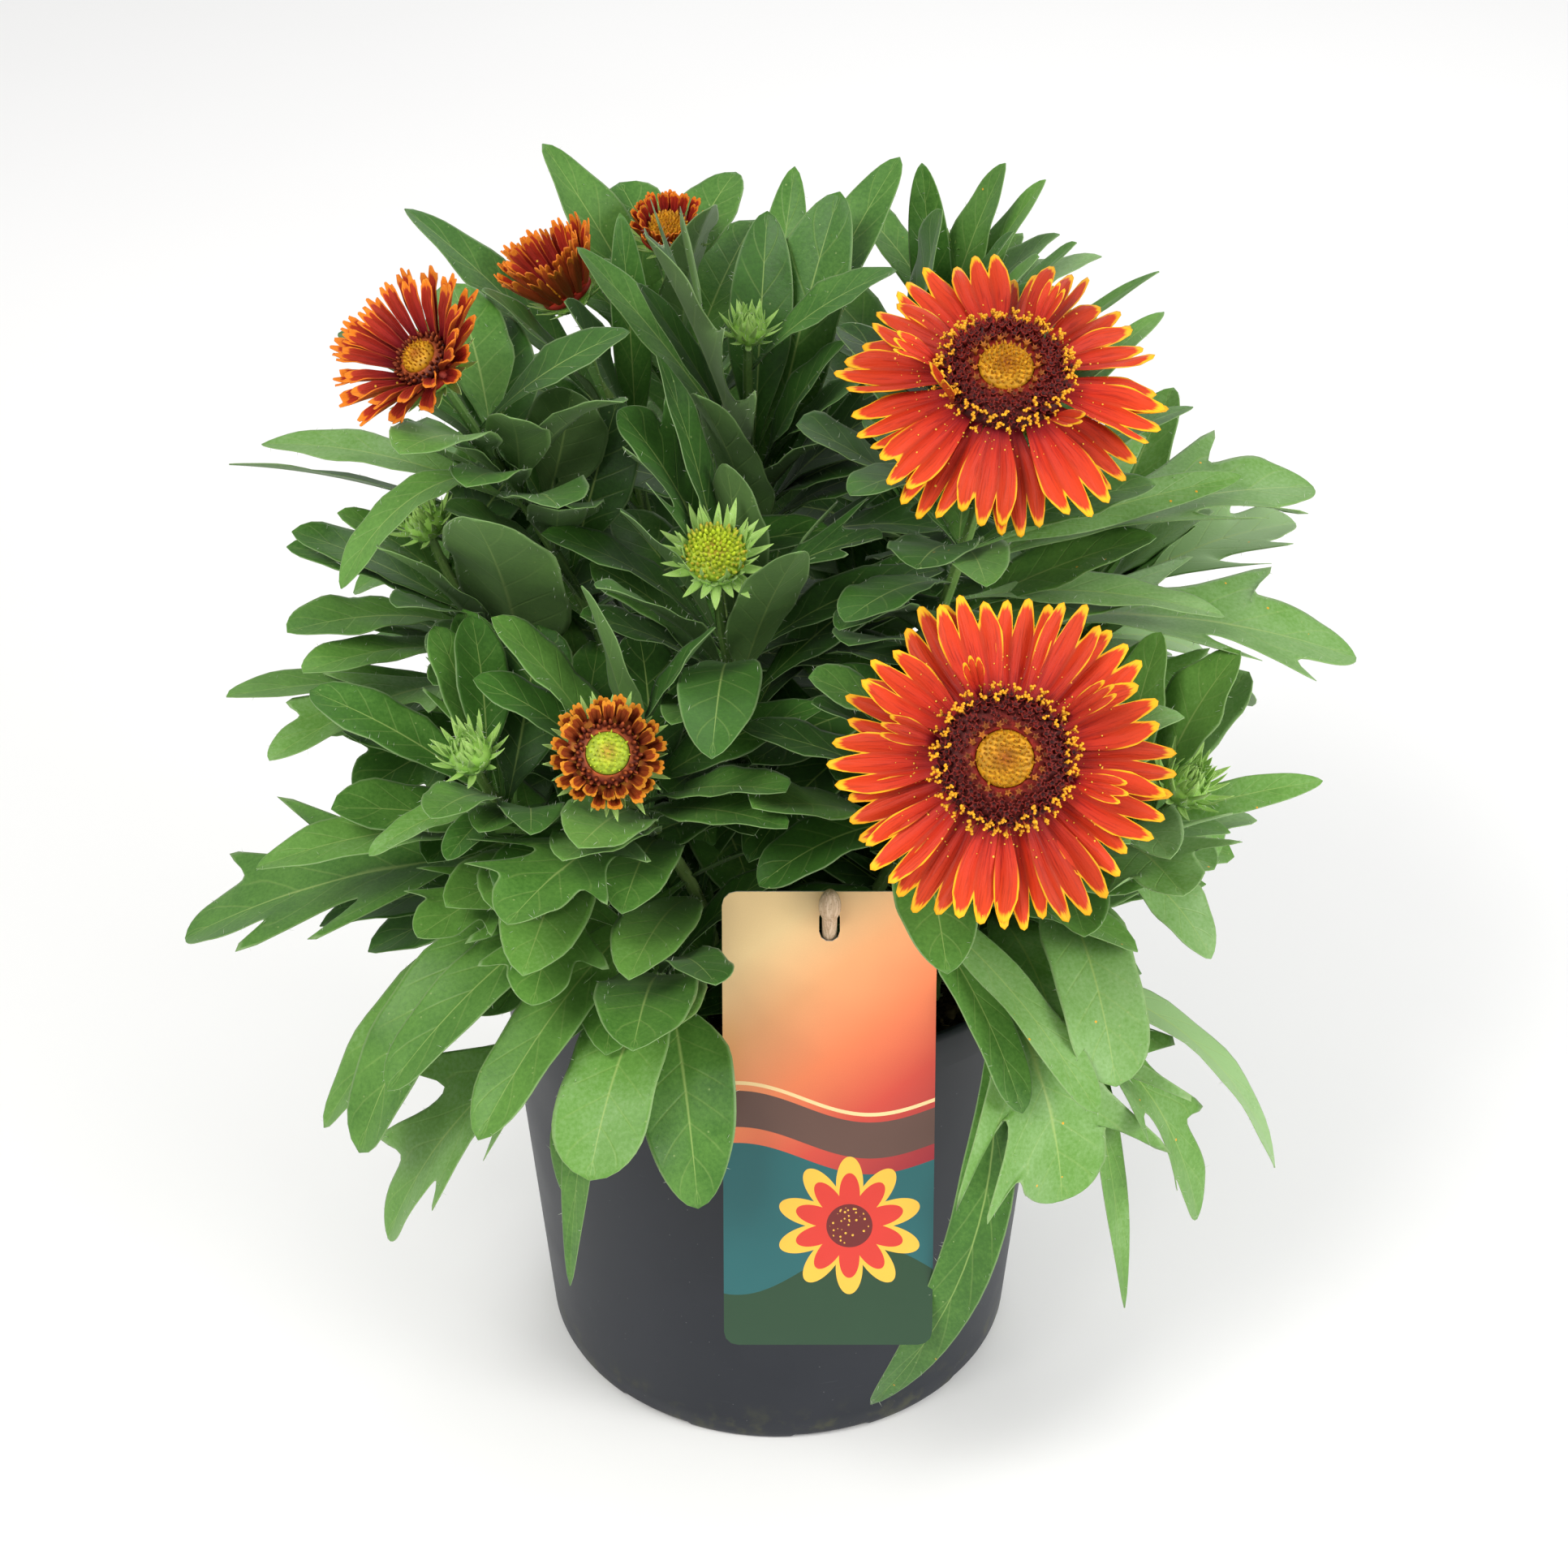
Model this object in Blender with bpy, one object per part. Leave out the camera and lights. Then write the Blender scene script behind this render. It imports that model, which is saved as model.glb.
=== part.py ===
"""Blanket flower plant in a dark nursery pot, with a care card on a wooden peg.

Metres, +Z up. The origin is the middle of the pot's underside. The front is -Y.
The plant table is in millimetres, measured from the same origin.
"""

import math

import bpy
import bmesh
from mathutils import Matrix, Quaternion, Vector
from mathutils.bvhtree import BVHTree

MM = 0.001
GAP = 0.0003

POT_HEIGHT = 0.171
RIM_RADIUS = 0.095
COLLAR_DEPTH = 0.015
COLLAR_RADIUS = 0.0935
WALL_TOP_RADIUS = 0.0872
BASE_RADIUS = 0.0755
FOOT_ROUND = 0.003
WALL = 0.0016
POT_SIDES = 28
NOTCH_COUNT = 8
NOTCH_WIDTH = 0.024
NOTCH_HEIGHT = 0.004
NOTCH_DEPTH = 0.007
NOTCH_PHASE = 13.0

SOIL_DROP = 0.014
SOIL_ROUGHNESS = 0.0012
STEM_HOLE_DEPTH = 0.008
STEM_HOLE_SLACK = 0.0009
STEM_RADIUS = 0.0024
STALK_RADIUS = 0.0015
STEM_SIDES = 4
STEM_RISE_OUT = 0.0035
STEM_SHARES = (0.0, 0.32, 0.66, 1.0)

BLADE_THICKNESS = 0.0007
PETAL_THICKNESS = 0.0007
CLEAR_THICKNESS = 0.0016

CARD_WIDTH = 0.060
CARD_HEIGHT = 0.136
CARD_THICKNESS = 0.0006
CARD_CORNER = 0.004
CARD_TILT = 20.0
CARD_X = 0.0145
CARD_ABOVE_RIM = 0.050
CARD_HOLE_WIDTH = 0.0058
CARD_HOLE_LENGTH = 0.0100
CARD_HOLE_DROP = 0.0095
PEG_RADIUS = 0.0021
PEG_HEAD_RADIUS = 0.0032
PEG_HEAD_LENGTH = 0.011
PEG_LEAN = 15.0
PEG_DEPTH = 0.030
PEG_SIDES = 10

# Each stem: foot in the soil (x, y), its end (x, y, z), the way its head faces, the head.
STEMS = {
    "a": ((24, -42), (58, -120, 290), (0.00, -0.80, 0.60), "bloom_a"),
    "b": ((30, -14), (61, -30, 356), (0.02, -0.46, 0.89), "bloom_b"),
    "c": ((-34, -4), (-97, -20, 354), (-0.45, -0.45, 0.77), "bloom_c"),
    "d": ((-28, 26), (-64, 60, 339), (-0.45, -0.10, 0.89), "bloom_d"),
    "e": ((-12, 42), (-33, 90, 344), (0.00, -0.35, 0.94), "bloom_e"),
    "f": ((-18, -46), (-45, -90, 272), (0.05, -0.72, 0.69), "bloom_f"),
    "g": ((-4, -20), (-17, -40, 306), (0.00, -0.50, 0.87), "bud_g"),
    "h": ((-42, -34), (-84, -80, 269), (-0.20, -0.30, 0.93), "bud_h"),
    "i": ((52, -24), (116, -60, 246), (0.35, -0.25, 0.90), "bud_i"),
    "j": ((2, 18), (-8, 30, 342), (0.05, -0.20, 0.98), "bud_j"),
    "k": ((-56, 8), (-103, 0, 296), (-0.30, -0.20, 0.93), "bud_k"),
    "l": ((24, 46), (55, 100, 337), (0.10, 0.10, 0.99), "bud_l"),
    "m": ((-22, -62), (-34, -80, 192), (0.0, -0.5, 0.8), None),
    "n": ((46, -48), (60, -66, 188), (0.3, -0.5, 0.8), None),
    "o": ((58, 20), (98, 44, 240), (0.7, 0.3, 0.6), None),
    "p": ((30, 64), (52, 112, 235), (0.4, 0.8, 0.5), None),
    "q": ((-34, 58), (-66, 108, 240), (-0.4, 0.8, 0.5), None),
}

# Each leaf: stem, share of the stem's length where it grows, tip (x, y, z), width, arch, roll, shape.
# The arch is how far the curve's middle point stands off the chord, or that point itself.
LEAVES = [
    ("a", 0.45, (45, -125, 225), 18, 16, 0, "oval"),
    ("a", 0.30, (45, -120, 165), 11, 20, 0, "strap"),
    ("a", 0.28, (88, -120, 173), 11, 18, 0, "strap"),
    ("a", 0.55, (-5, -95, 232), 18, 14, 0, "oval"),
    ("a", 0.70, (22, -92, 268), 14, 8, 0, "oval"),
    ("a", 0.74, (54, -90, 322), 21, 12, 0, "oval"),
    ("a", 0.66, (9, -86, 277), 15, 8, 0, "oval"),
    ("b", 0.80, (110, 30, 343), 10, 6, 0, "lance"),
    ("b", 0.72, (119, 20, 318), 10, 8, 0, "lance"),
    ("b", 0.66, (133, 10, 301), 9, 10, 40, "lance"),
    ("b", 0.62, (156, 20, 292), 26, 14, 0, "lobed"),
    ("b", 0.50, (168, -10, 252), 26, 20, 0, "lobed"),
    ("b", 0.78, (24, -55, 328), 15, 12, 0, "oval"),
    ("b", 0.56, (126, -25, 275), 14, 12, 0, "lance"),
    ("b", 0.88, (12, -15, 352), 14, 5, 0, "oval"),
    ("b", 0.66, (37, -62, 312), 20, 8, 0, "oval"),
    ("b", 0.60, (18, -66, 298), 15, 8, 0, "oval"),
    ("b", 0.76, (24, 2, 324), 15, 6, 0, "oval"),
    ("b", 0.70, (96, -8, 322), 16, 8, 0, "oval"),
    ("c", 0.72, (-102, -30, 337), 14, 8, 0, "oval"),
    ("c", 0.70, (-149, 20, 306), 14, 12, 0, "lance"),
    ("c", 0.60, (-165, 20, 293), 8, 12, 30, "lance"),
    ("c", 0.78, (-120, -40, 293), 12, 22, 0, "lance"),
    ("c", 0.74, (-133, 30, 297), 8, 14, 40, "lance"),
    ("c", 0.66, (-57, -5, 336), 19, 8, 0, "oval"),
    ("c", 0.56, (-45, 10, 334), 18, 8, 0, "oval"),
    ("c", 0.62, (-80, -2, 320), 20, 8, 0, "oval"),
    ("c", 0.50, (-92, -22, 308), 18, 10, 0, "oval"),
    ("d", 0.74, (-110, 75, 355), 16, 8, 0, "lance"),
    ("d", 0.66, (-46, 65, 358), 10, 4, 0, "lance"),
    ("d", 0.58, (-61, 35, 344), 22, 8, 0, "oval"),
    ("d", 0.70, (-89, 40, 350), 14, 8, 0, "oval"),
    ("e", 0.64, (-71, 105, 363), 20, 10, 0, "lance"),
    ("e", 0.76, (-15, 75, 357), 18, 8, 0, "oval"),
    ("e", 0.60, (-52, 128, 322), 18, 14, 0, "oval"),
    ("e", 0.50, (-8, 142, 300), 18, 16, 0, "lance"),
    ("f", 0.62, (-52, -64, 308), 14, 6, 0, "oval"),
    ("f", 0.40, (-106, -125, 185), 16, 26, 0, "strap"),
    ("f", 0.56, (-70, -130, 245), 20, 14, 0, "lobed"),
    ("f", 0.34, (-81, -135, 176), 15, 22, 0, "strap"),
    ("g", 0.86, (-47, -20, 334), 20, 10, 0, "lobed"),
    ("g", 0.80, (-33, -10, 349), 13, 8, 0, "lance"),
    ("g", 0.62, (-48, -65, 308), 15, 10, 0, "oval"),
    ("g", 0.58, (6, -65, 319), 15, 8, 0, "lance"),
    ("g", 0.66, (-17, -105, 280), 18, 22, 0, "oval"),
    ("g", 0.74, (-35, -50, 318), 14, 4, 0, "oval"),
    ("g", 0.70, (-14, -22, 322), 16, 8, 0, "oval"),
    ("g", 0.50, (-36, -86, 288), 14, 12, 0, "oval"),
    ("h", 0.60, (-144, -80, 227), 16, 14, 0, "lance"),
    ("h", 0.46, (-171, -60, 188), 26, 18, 0, "lobed"),
    ("h", 0.82, (-110, -95, 242), 9, 8, 0, "lance"),
    ("h", 0.78, (-96, -100, 247), 9, 6, 0, "oval"),
    ("h", 0.44, (-118, -110, 150), 18, 30, 0, "strap"),
    ("h", 0.32, (-132, -85, 138), 18, 24, 0, "oval"),
    ("i", 0.84, (129, -40, 273), 22, 8, 0, "oval"),
    ("i", 0.72, (108, -30, 273), 18, 6, 0, "oval"),
    ("i", 0.78, (154, -50, 236), 8, 12, 40, "lance"),
    ("i", 0.60, (123, -75, 192), 15, 16, 0, "oval"),
    ("i", 0.46, (94, -110, 174), 20, 26, 0, "strap"),
    ("j", 0.70, (-40, 30, 352), 12, 6, 0, "lance"),
    ("j", 0.74, (-58, 50, 354), 13, 6, 0, "lance"),
    ("j", 0.62, (-33, 5, 360), 32, 8, 0, "lobed"),
    ("j", 0.66, (5, 90, 362), 13, 8, 0, "lance"),
    ("j", 0.76, (36, 85, 367), 16, 10, 0, "lance"),
    ("j", 0.68, (19, 20, 338), 17, 8, 0, "oval"),
    ("j", 0.72, (-3, 62, 360), 15, 8, 0, "oval"),
    ("j", 0.60, (18, 62, 366), 21, 10, 0, "oval"),
    ("j", 0.52, (-22, -8, 336), 18, 8, 0, "oval"),
    ("k", 0.70, (-137, -35, 276), 18, 10, 0, "oval"),
    ("k", 0.60, (-131, -50, 272), 12, 12, 0, "strap"),
    ("k", 0.66, (-103, -55, 296), 15, 8, 0, "oval"),
    ("k", 0.50, (-80, -60, 326), 28, 10, 0, "lance"),
    ("k", 0.46, (-154, -45, 261), 12, 12, 0, "strap"),
    ("k", 0.54, (-140, -65, 253), 14, 16, 0, "lobed"),
    ("k", 0.58, (-108, -44, 300), 16, 8, 0, "oval"),
    ("l", 0.80, (43, 95, 361), 10, 4, 0, "lance"),
    ("l", 0.78, (68, 95, 361), 14, 6, 0, "lance"),
    ("l", 0.74, (80, 92, 357), 12, 8, 0, "lance"),
    ("l", 0.70, (71, 75, 349), 13, 8, 0, "lance"),
    ("l", 0.62, (48, 65, 359), 21, 6, 0, "oval"),
    ("l", 0.66, (87, 60, 351), 12, 8, 0, "oval"),
    ("l", 0.58, (109, 40, 351), 10, 8, 0, "lance"),
    ("l", 0.56, (84, 130, 300), 18, 14, 0, "lance"),
    ("l", 0.60, (84, 62, 352), 18, 8, 0, "oval"),
    ("l", 0.50, (60, 40, 330), 20, 10, 0, "oval"),
    ("m", 0.80, (-46, -145, 216), 22, 14, 0, "oval"),
    ("m", 0.70, (-22, -130, 147), 22, 30, 0, "lance"),
    ("m", 0.76, (-51, -140, 166), 21, 24, 0, "strap"),
    ("m", 0.90, (-16, -135, 229), 13, 12, 0, "strap"),
    ("m", 0.80, (-60, -115, 104), 9, (-54, -112, 205), 0, "lance"),
    ("m", 0.62, (-59, -108, 130), 14, 30, 0, "oval"),
    ("m", 0.66, (-113, -105, 113), 20, 34, 0, "lobed"),
    ("n", 0.80, (81, -110, 132), 30, 26, 0, "lobed"),
    ("n", 0.84, (148, -75, 114), 12, 40, 0, "lance"),
    ("n", 0.74, (119, -100, 109), 15, 36, 0, "lobed"),
    ("n", 0.80, (103, -100, 81), 10, (90, -96, 210), 0, "lance"),
    ("n", 0.84, (28, -105, 46), 13, (72, -150, 150), 0, "lance"),
    ("o", 0.90, (158, 52, 262), 22, 14, 0, "lobed"),
    ("o", 0.80, (150, 62, 190), 18, 24, 0, "strap"),
    ("o", 0.66, (136, 6, 170), 18, 24, 0, "strap"),
    ("o", 0.94, (122, 84, 292), 18, 10, 0, "lance"),
    ("p", 0.92, (102, 138, 240), 20, 16, 0, "lobed"),
    ("p", 0.86, (44, 164, 232), 18, 18, 0, "strap"),
    ("p", 0.76, (92, 120, 160), 16, 24, 0, "strap"),
    ("p", 0.66, (18, 138, 150), 18, 24, 0, "oval"),
    ("q", 0.92, (-112, 138, 244), 20, 16, 0, "lobed"),
    ("q", 0.86, (-40, 166, 228), 18, 18, 0, "strap"),
    ("q", 0.80, (-138, 92, 214), 18, 20, 0, "strap"),
    ("q", 0.66, (-72, 134, 150), 16, 24, 0, "oval"),
    ("q", 0.70, (-122, 66, 160), 16, 24, 0, "strap"),
]

# Heads, in millimetres and degrees: depth is the way from the stalk's end to the disc's top.
HEADS = {
    "bloom_a": dict(depth=12.0, disc=17.0, well=7.6, dome=4.6, hub=11.0, rays=18, length=34.0,
                    width=15.5, rise=-6.0, fall=-4.0, lean=0.0, sectors=20, rings=3, toothed=True),
    "bloom_b": dict(depth=12.0, disc=17.0, well=7.6, dome=5.0, hub=11.0, rays=18, length=34.0,
                    width=15.0, rise=-4.0, fall=-14.0, lean=20.0, sectors=20, rings=3, toothed=True),
    "bloom_c": dict(depth=10.0, disc=7.4, well=5.0, dome=2.4, hub=10.0, rays=15, length=19.0,
                    width=5.4, rise=42.0, fall=34.0, lean=8.0, sectors=14, rings=2, toothed=False),
    "bloom_d": dict(depth=9.5, disc=5.4, well=0.0, dome=2.0, hub=8.0, rays=12, length=19.0,
                    width=5.0, rise=54.0, fall=66.0, lean=0.0, sectors=12, rings=2, toothed=False),
    "bloom_e": dict(depth=9.5, disc=6.0, well=0.0, dome=2.0, hub=8.6, rays=13, length=8.5,
                    width=3.6, rise=56.0, fall=64.0, lean=0.0, sectors=12, rings=2, toothed=False),
    "bloom_f": dict(depth=10.0, disc=8.6, well=6.0, dome=2.4, hub=11.2, rays=16, length=8.0,
                    width=4.2, rise=46.0, fall=40.0, lean=0.0, sectors=14, rings=2, toothed=False),
    "bud_g": dict(depth=9.0, disc=8.4, well=0.0, dome=3.6, hub=0.0, rays=0, sectors=14, rings=3),
    "bud_h": dict(depth=10.0, ball=7.0),
    "bud_i": dict(depth=11.0, ball=8.0),
    "bud_j": dict(depth=9.0, ball=6.0),
    "bud_k": dict(depth=10.0, ball=7.0),
    "bud_l": dict(depth=6.0, ball=3.5),
}
HUB_DEPTH = 2.0 * MM
DISC_SKIRT = 0.9 * MM
WELL_DROP = 1.2 * MM
RAY_LAYERS = (0.28, 0.72)
RAY_PARTING = 2.5
RAY_ROOT = 0.12
QUILL_DEPTH = 0.45

# Swing in degrees and lift in millimetres that are tried in turn to bend a leaf clear.
CLEAR_STEPS = [(swing * side, lift) for lift in (0, 8, -8, 16) for swing in (0, 7, 14, 21) for side in (1, -1)]
SMALL_WIDTH = 13
FULLNESS = 1.25


def clear_scene():
    for item in list(bpy.data.objects):
        bpy.data.objects.remove(item, do_unlink=True)


def material(name, colour, roughness=0.6, metallic=0.0):
    made = bpy.data.materials.new(name)
    made.use_nodes = True
    shader = made.node_tree.nodes["Principled BSDF"]
    shader.inputs["Base Color"].default_value = (*colour, 1.0)
    shader.inputs["Roughness"].default_value = roughness
    shader.inputs["Metallic"].default_value = metallic
    return made


def closed(mesh):
    """Whether every edge of a mesh joins exactly two faces."""
    check = bmesh.new()
    check.from_mesh(mesh)
    answer = all(edge.is_manifold for edge in check.edges)
    check.free()
    return answer


def drop_scraps(mesh):
    """Keeps a mesh's largest connected piece."""
    work = bmesh.new()
    work.from_mesh(mesh)
    work.verts.ensure_lookup_table()
    groups = []
    seen = set()
    for first in work.verts:
        if first in seen:
            continue
        group = {first}
        waiting = [first]
        while waiting:
            for edge in waiting.pop().link_edges:
                for vertex in edge.verts:
                    if vertex not in group:
                        group.add(vertex)
                        waiting.append(vertex)
        seen |= group
        groups.append(group)
    groups.sort(key=len)
    loose = [vertex for group in groups[:-1] for vertex in group]
    bmesh.ops.delete(work, geom=loose, context="VERTS")
    work.to_mesh(mesh)
    work.free()


def make_object(name, points, faces, look=None):
    """One object from points and faces, with its faces turned outward."""
    mesh = bpy.data.meshes.new(name)
    mesh.from_pydata([tuple(p) for p in points], [], faces)
    tidy = bmesh.new()
    tidy.from_mesh(mesh)
    bmesh.ops.recalc_face_normals(tidy, faces=tidy.faces)
    tidy.to_mesh(mesh)
    tidy.free()
    made = bpy.data.objects.new(name, mesh)
    bpy.context.scene.collection.objects.link(made)
    if look:
        mesh.materials.append(look)
    return made


def smooth(item, angle=35.0):
    item.data.shade_smooth()
    item.data.set_sharp_from_angle(angle=math.radians(angle))


def boolean(item, operation, others):
    """Join or cut an object with a collection of others, which are then removed."""
    group = bpy.data.collections.new(item.name + "_pieces")
    bpy.context.scene.collection.children.link(group)
    for other in others:
        bpy.context.scene.collection.objects.unlink(other)
        group.objects.link(other)
    step = item.modifiers.new(operation.lower(), "BOOLEAN")
    step.operation = operation
    step.operand_type = "COLLECTION"
    step.collection = group
    for solver in ("EXACT", "MANIFOLD"):
        step.solver = solver
        bpy.context.view_layer.update()
        shape = item.evaluated_get(bpy.context.evaluated_depsgraph_get())
        joined = bpy.data.meshes.new_from_object(shape)
        if closed(joined):
            break
    drop_scraps(joined)
    item.modifiers.clear()
    look = item.data.materials[0] if item.data.materials else None
    item.data = joined
    if look:
        joined.materials.clear()
        joined.materials.append(look)
    for other in others:
        bpy.data.objects.remove(other, do_unlink=True)
    bpy.data.collections.remove(group)


def turned(name, profile, sides, look=None):
    """A closed turned solid. The profile is a closed loop of (radius, height) points."""
    points = []
    rings = []
    for radius, height in profile:
        if radius < 1e-9:
            rings.append([len(points)])
            points.append(Vector((0, 0, height)))
            continue
        rings.append(list(range(len(points), len(points) + sides)))
        for side in range(sides):
            angle = 2 * math.pi * side / sides
            points.append(Vector((radius * math.sin(angle), -radius * math.cos(angle), height)))
    faces = []
    for index in range(len(rings)):
        low, high = rings[index], rings[(index + 1) % len(rings)]
        if len(low) == 1 and len(high) == 1:
            continue
        for side in range(sides):
            after = (side + 1) % sides
            if len(low) == 1:
                faces.append((low[0], high[after], high[side]))
            elif len(high) == 1:
                faces.append((low[side], low[after], high[0]))
            else:
                faces.append((low[side], low[after], high[after], high[side]))
    return make_object(name, points, faces, look)


def bend(start, middle, end, share):
    """A point on the curve from start to end that is drawn toward the middle point."""
    rest = 1.0 - share
    return start * rest * rest + middle * 2 * rest * share + end * share * share


def stem_curve(key, share):
    """A point on a stem: up from the soil, then bending over to run into its head's axis."""
    foot, end, facing, head = STEMS[key]
    start = Vector((foot[0] * MM, foot[1] * MM, POT_HEIGHT - SOIL_DROP + STEM_RISE_OUT))
    axis = Vector(facing).normalized()
    top = Vector(end) * MM
    if head:
        top -= axis * HEADS[head]["depth"] * MM
    rise = top.z - start.z
    lower = start + Vector((0, 0, rise * 0.45))
    upper = top - (axis * 0.7 + Vector((0, 0, 0.3))) * rise * 0.35
    rest = 1.0 - share
    return (start * rest ** 3 + lower * 3 * rest ** 2 * share
            + upper * 3 * rest * share ** 2 + top * share ** 3)


def tube_mesh(path, radii, sides):
    """Points and faces of a closed tube along a path, its rings square to the way it runs."""
    points = []
    across = Vector((1, 0, 0))
    for index, centre in enumerate(path):
        before = path[max(index - 1, 0)]
        after = path[min(index + 1, len(path) - 1)]
        along = (after - before).normalized()
        across = (across - along * across.dot(along)).normalized()
        side_way = along.cross(across)
        for side in range(sides):
            angle = 2 * math.pi * side / sides
            reach = across * math.cos(angle) + side_way * math.sin(angle)
            points.append(centre + reach * radii[index])
    faces = []
    for index in range(len(path) - 1):
        for side in range(sides):
            after = (side + 1) % sides
            low, high = index * sides, (index + 1) * sides
            faces.append((low + side, low + after, high + after, high + side))
    faces.append(tuple(range(sides - 1, -1, -1)))
    faces.append(tuple(range((len(path) - 1) * sides, len(path) * sides)))
    return points, faces


def ease(low, high, value):
    share = min(max((value - low) / (high - low), 0.0), 1.0)
    return share * share * (3 - 2 * share)


def leaf_half_width(shape, share, side):
    """Half the leaf's width at a share of its length, as a share of the widest half."""
    if shape == "strap":
        body = 0.22 + 0.78 * ease(0.05, 0.50, share)
        crown = 0.80
    elif shape == "lance":
        body = 0.20 + 0.80 * ease(0.08, 0.45, share)
        crown = 0.52
    elif shape == "lobed":
        body = 0.16 + 0.64 * ease(0.06, 0.60, share)
        crown = 0.84
    else:
        body = 0.20 + 0.80 * ease(0.12, 0.56, share)
        crown = 0.62
    if share > crown:
        body *= max(1.0 - ((share - crown) / (1.0 - crown)) ** 2.2, 0.0) ** 0.62
    if shape == "lobed":
        for middle, size in LOBES[side]:
            body += size * max(1.0 - abs(share - middle) / LOBE_SPAN, 0.0)
    return body


# Side lobes of a cut leaf: share of the length and size, on its left and right.
LOBES = {-1: ((0.44, 0.95), (0.66, 0.60)), 1: ((0.50, 0.90), (0.74, 0.45))}
LOBE_SPAN = 0.09
LOBE_SWEEP = 0.9
LOBED_SHARES = (0.0, 0.30, 0.44, 0.50, 0.58, 0.66, 0.74, 0.84, 1.0)
PLAIN_SHARES = (0.0, 0.36, 0.76, 1.0)
SMALL_SHARES = (0.0, 0.40, 0.76, 1.0)
STALK_HALF_WIDTH = 0.0008
LEAF_FOLD = 0.18
LEAF_WAVE = 0.10


def leaf_frame(start, end, roll):
    """The directions along, across and square to a blade from start to end."""
    along = (end - start).normalized()
    outward = Vector((end.x, end.y, 0.0))
    outward = outward.normalized() if outward.length > 1e-6 else Vector((0, -1, 0))
    flat = Vector((along.x, along.y, 0.0)) + outward * 0.25
    across = flat.cross(Vector((0, 0, 1))).normalized()
    across = (across - along * across.dot(along)).normalized()
    upper = across.cross(along).normalized()
    turn = Quaternion(along, math.radians(roll))
    return along, turn @ across, turn @ upper


def leaf_rows(start, end, width, arch, roll, shape):
    """Rows of points across a leaf, each with its upward direction: two at the stalk, one at the tip."""
    along, across, upper = leaf_frame(start, end, roll)
    length = (end - start).length
    middle = Vector(arch) * MM if isinstance(arch, tuple) else (start + end) / 2 + upper * arch * MM
    shares = {"lobed": LOBED_SHARES, "small": SMALL_SHARES}.get(shape, PLAIN_SHARES)
    rows = []
    for share in shares:
        centre = bend(start, middle, end, share)
        ahead = bend(start, middle, end, min(share + 0.02, 1.0))
        behind = bend(start, middle, end, max(share - 0.02, 0.0))
        run = (ahead - behind).normalized()
        lift = across.cross(run).normalized()
        if share == 1.0:
            rows.append(([centre], lift))
            continue
        edges = []
        for side in (-1, 1):
            half = width / 2 * leaf_half_width(shape, share, side) if share else STALK_HALF_WIDTH
            forward = LOBE_SWEEP * max(half - width * 0.35, 0.0) if shape == "lobed" else 0.0
            wave = LEAF_WAVE * half * math.sin(share * 9.0 + side * 1.3 + length * 70)
            edges.append(centre + across * side * half + lift * (LEAF_FOLD * half + wave) + run * forward)
        if share == 0.0 or shape == "small":
            rows.append((edges, lift))
        else:
            rows.append(([edges[0], centre, edges[1]], lift))
    return rows


def blade_mesh(rows, thickness):
    """Points and faces of a closed thin blade, split into triangles alike on both faces."""
    points = []
    tops = []
    unders = []
    for spots, lift in rows:
        tops.append([len(points) + index for index in range(len(spots))])
        points += [spot + lift * thickness / 2 for spot in spots]
        unders.append([len(points) + index for index in range(len(spots))])
        points += [spot - lift * thickness / 2 for spot in spots]
    faces = []
    for index in range(len(rows) - 1):
        for sheet in (tops, unders):
            low, high = sheet[index], sheet[index + 1]
            triangles = strip(low, high)
            if sheet is unders:
                triangles = [tuple(reversed(triangle)) for triangle in triangles]
            faces += triangles
        for end in (0, -1):
            low, high = tops[index][end], tops[index + 1][end]
            below, ahead = unders[index][end], unders[index + 1][end]
            faces += [(low, high, ahead), (low, ahead, below)]
    for index in (0, -1):
        for column in range(len(tops[index]) - 1):
            faces.append((tops[index][column], tops[index][column + 1],
                          unders[index][column + 1], unders[index][column]))
    return points, faces


def strip(low, high):
    """The triangles between two rows of one, two or three points."""
    counts = (len(low), len(high))
    if counts == (2, 3):
        return [(low[0], high[1], high[0]), (low[0], low[1], high[1]), (low[1], high[2], high[1])]
    if counts == (2, 2):
        return [(low[0], low[1], high[0]), (low[1], high[1], high[0])]
    if counts == (2, 1):
        return [(low[0], low[1], high[0])]
    if counts == (3, 1):
        return [(low[0], low[1], high[0]), (low[1], low[2], high[0])]
    return [(low[0], low[1], high[0]), (low[1], high[1], high[0]),
            (low[1], low[2], high[1]), (low[2], high[2], high[1])]


def head_place(key):
    """The matrix that carries a head from its own axis, +Z from the stalk's end, to the plant."""
    _, end, facing, head = STEMS[key]
    axis = Vector(facing).normalized()
    turn = Vector((0, 0, 1)).rotation_difference(axis).to_matrix().to_4x4()
    foot = Vector(end) * MM - axis * HEADS[head]["depth"] * MM
    return Matrix.Translation(foot) @ turn


def put(item, place):
    """Moves an object's points to the place, so that the object itself stays unturned."""
    item.data.transform(place)
    return item


def around(radius, height, angle):
    return Vector((radius * math.sin(angle), -radius * math.cos(angle), height))


def spike(name, start, middle, end, width, thickness):
    """A three-sided curved bract that ends in a point."""
    points = []
    run = (end - start).normalized()
    across = run.cross(Vector((start.x, start.y, 0.0)) + Vector((0, 0, 0.001))).normalized()
    for centre, size in ((start, 1.0), (middle, 0.72)):
        lift = across.cross(run)
        points.append(centre - across * width / 2 * size)
        points.append(centre + across * width / 2 * size)
        points.append(centre + lift * thickness * size)
    points.append(end)
    faces = [(0, 2, 1)]
    for side in range(3):
        after = (side + 1) % 3
        faces.append((side, after, 3 + after, 3 + side))
        faces.append((3 + side, 3 + after, 6))
    return make_object(name, points, faces)


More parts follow.
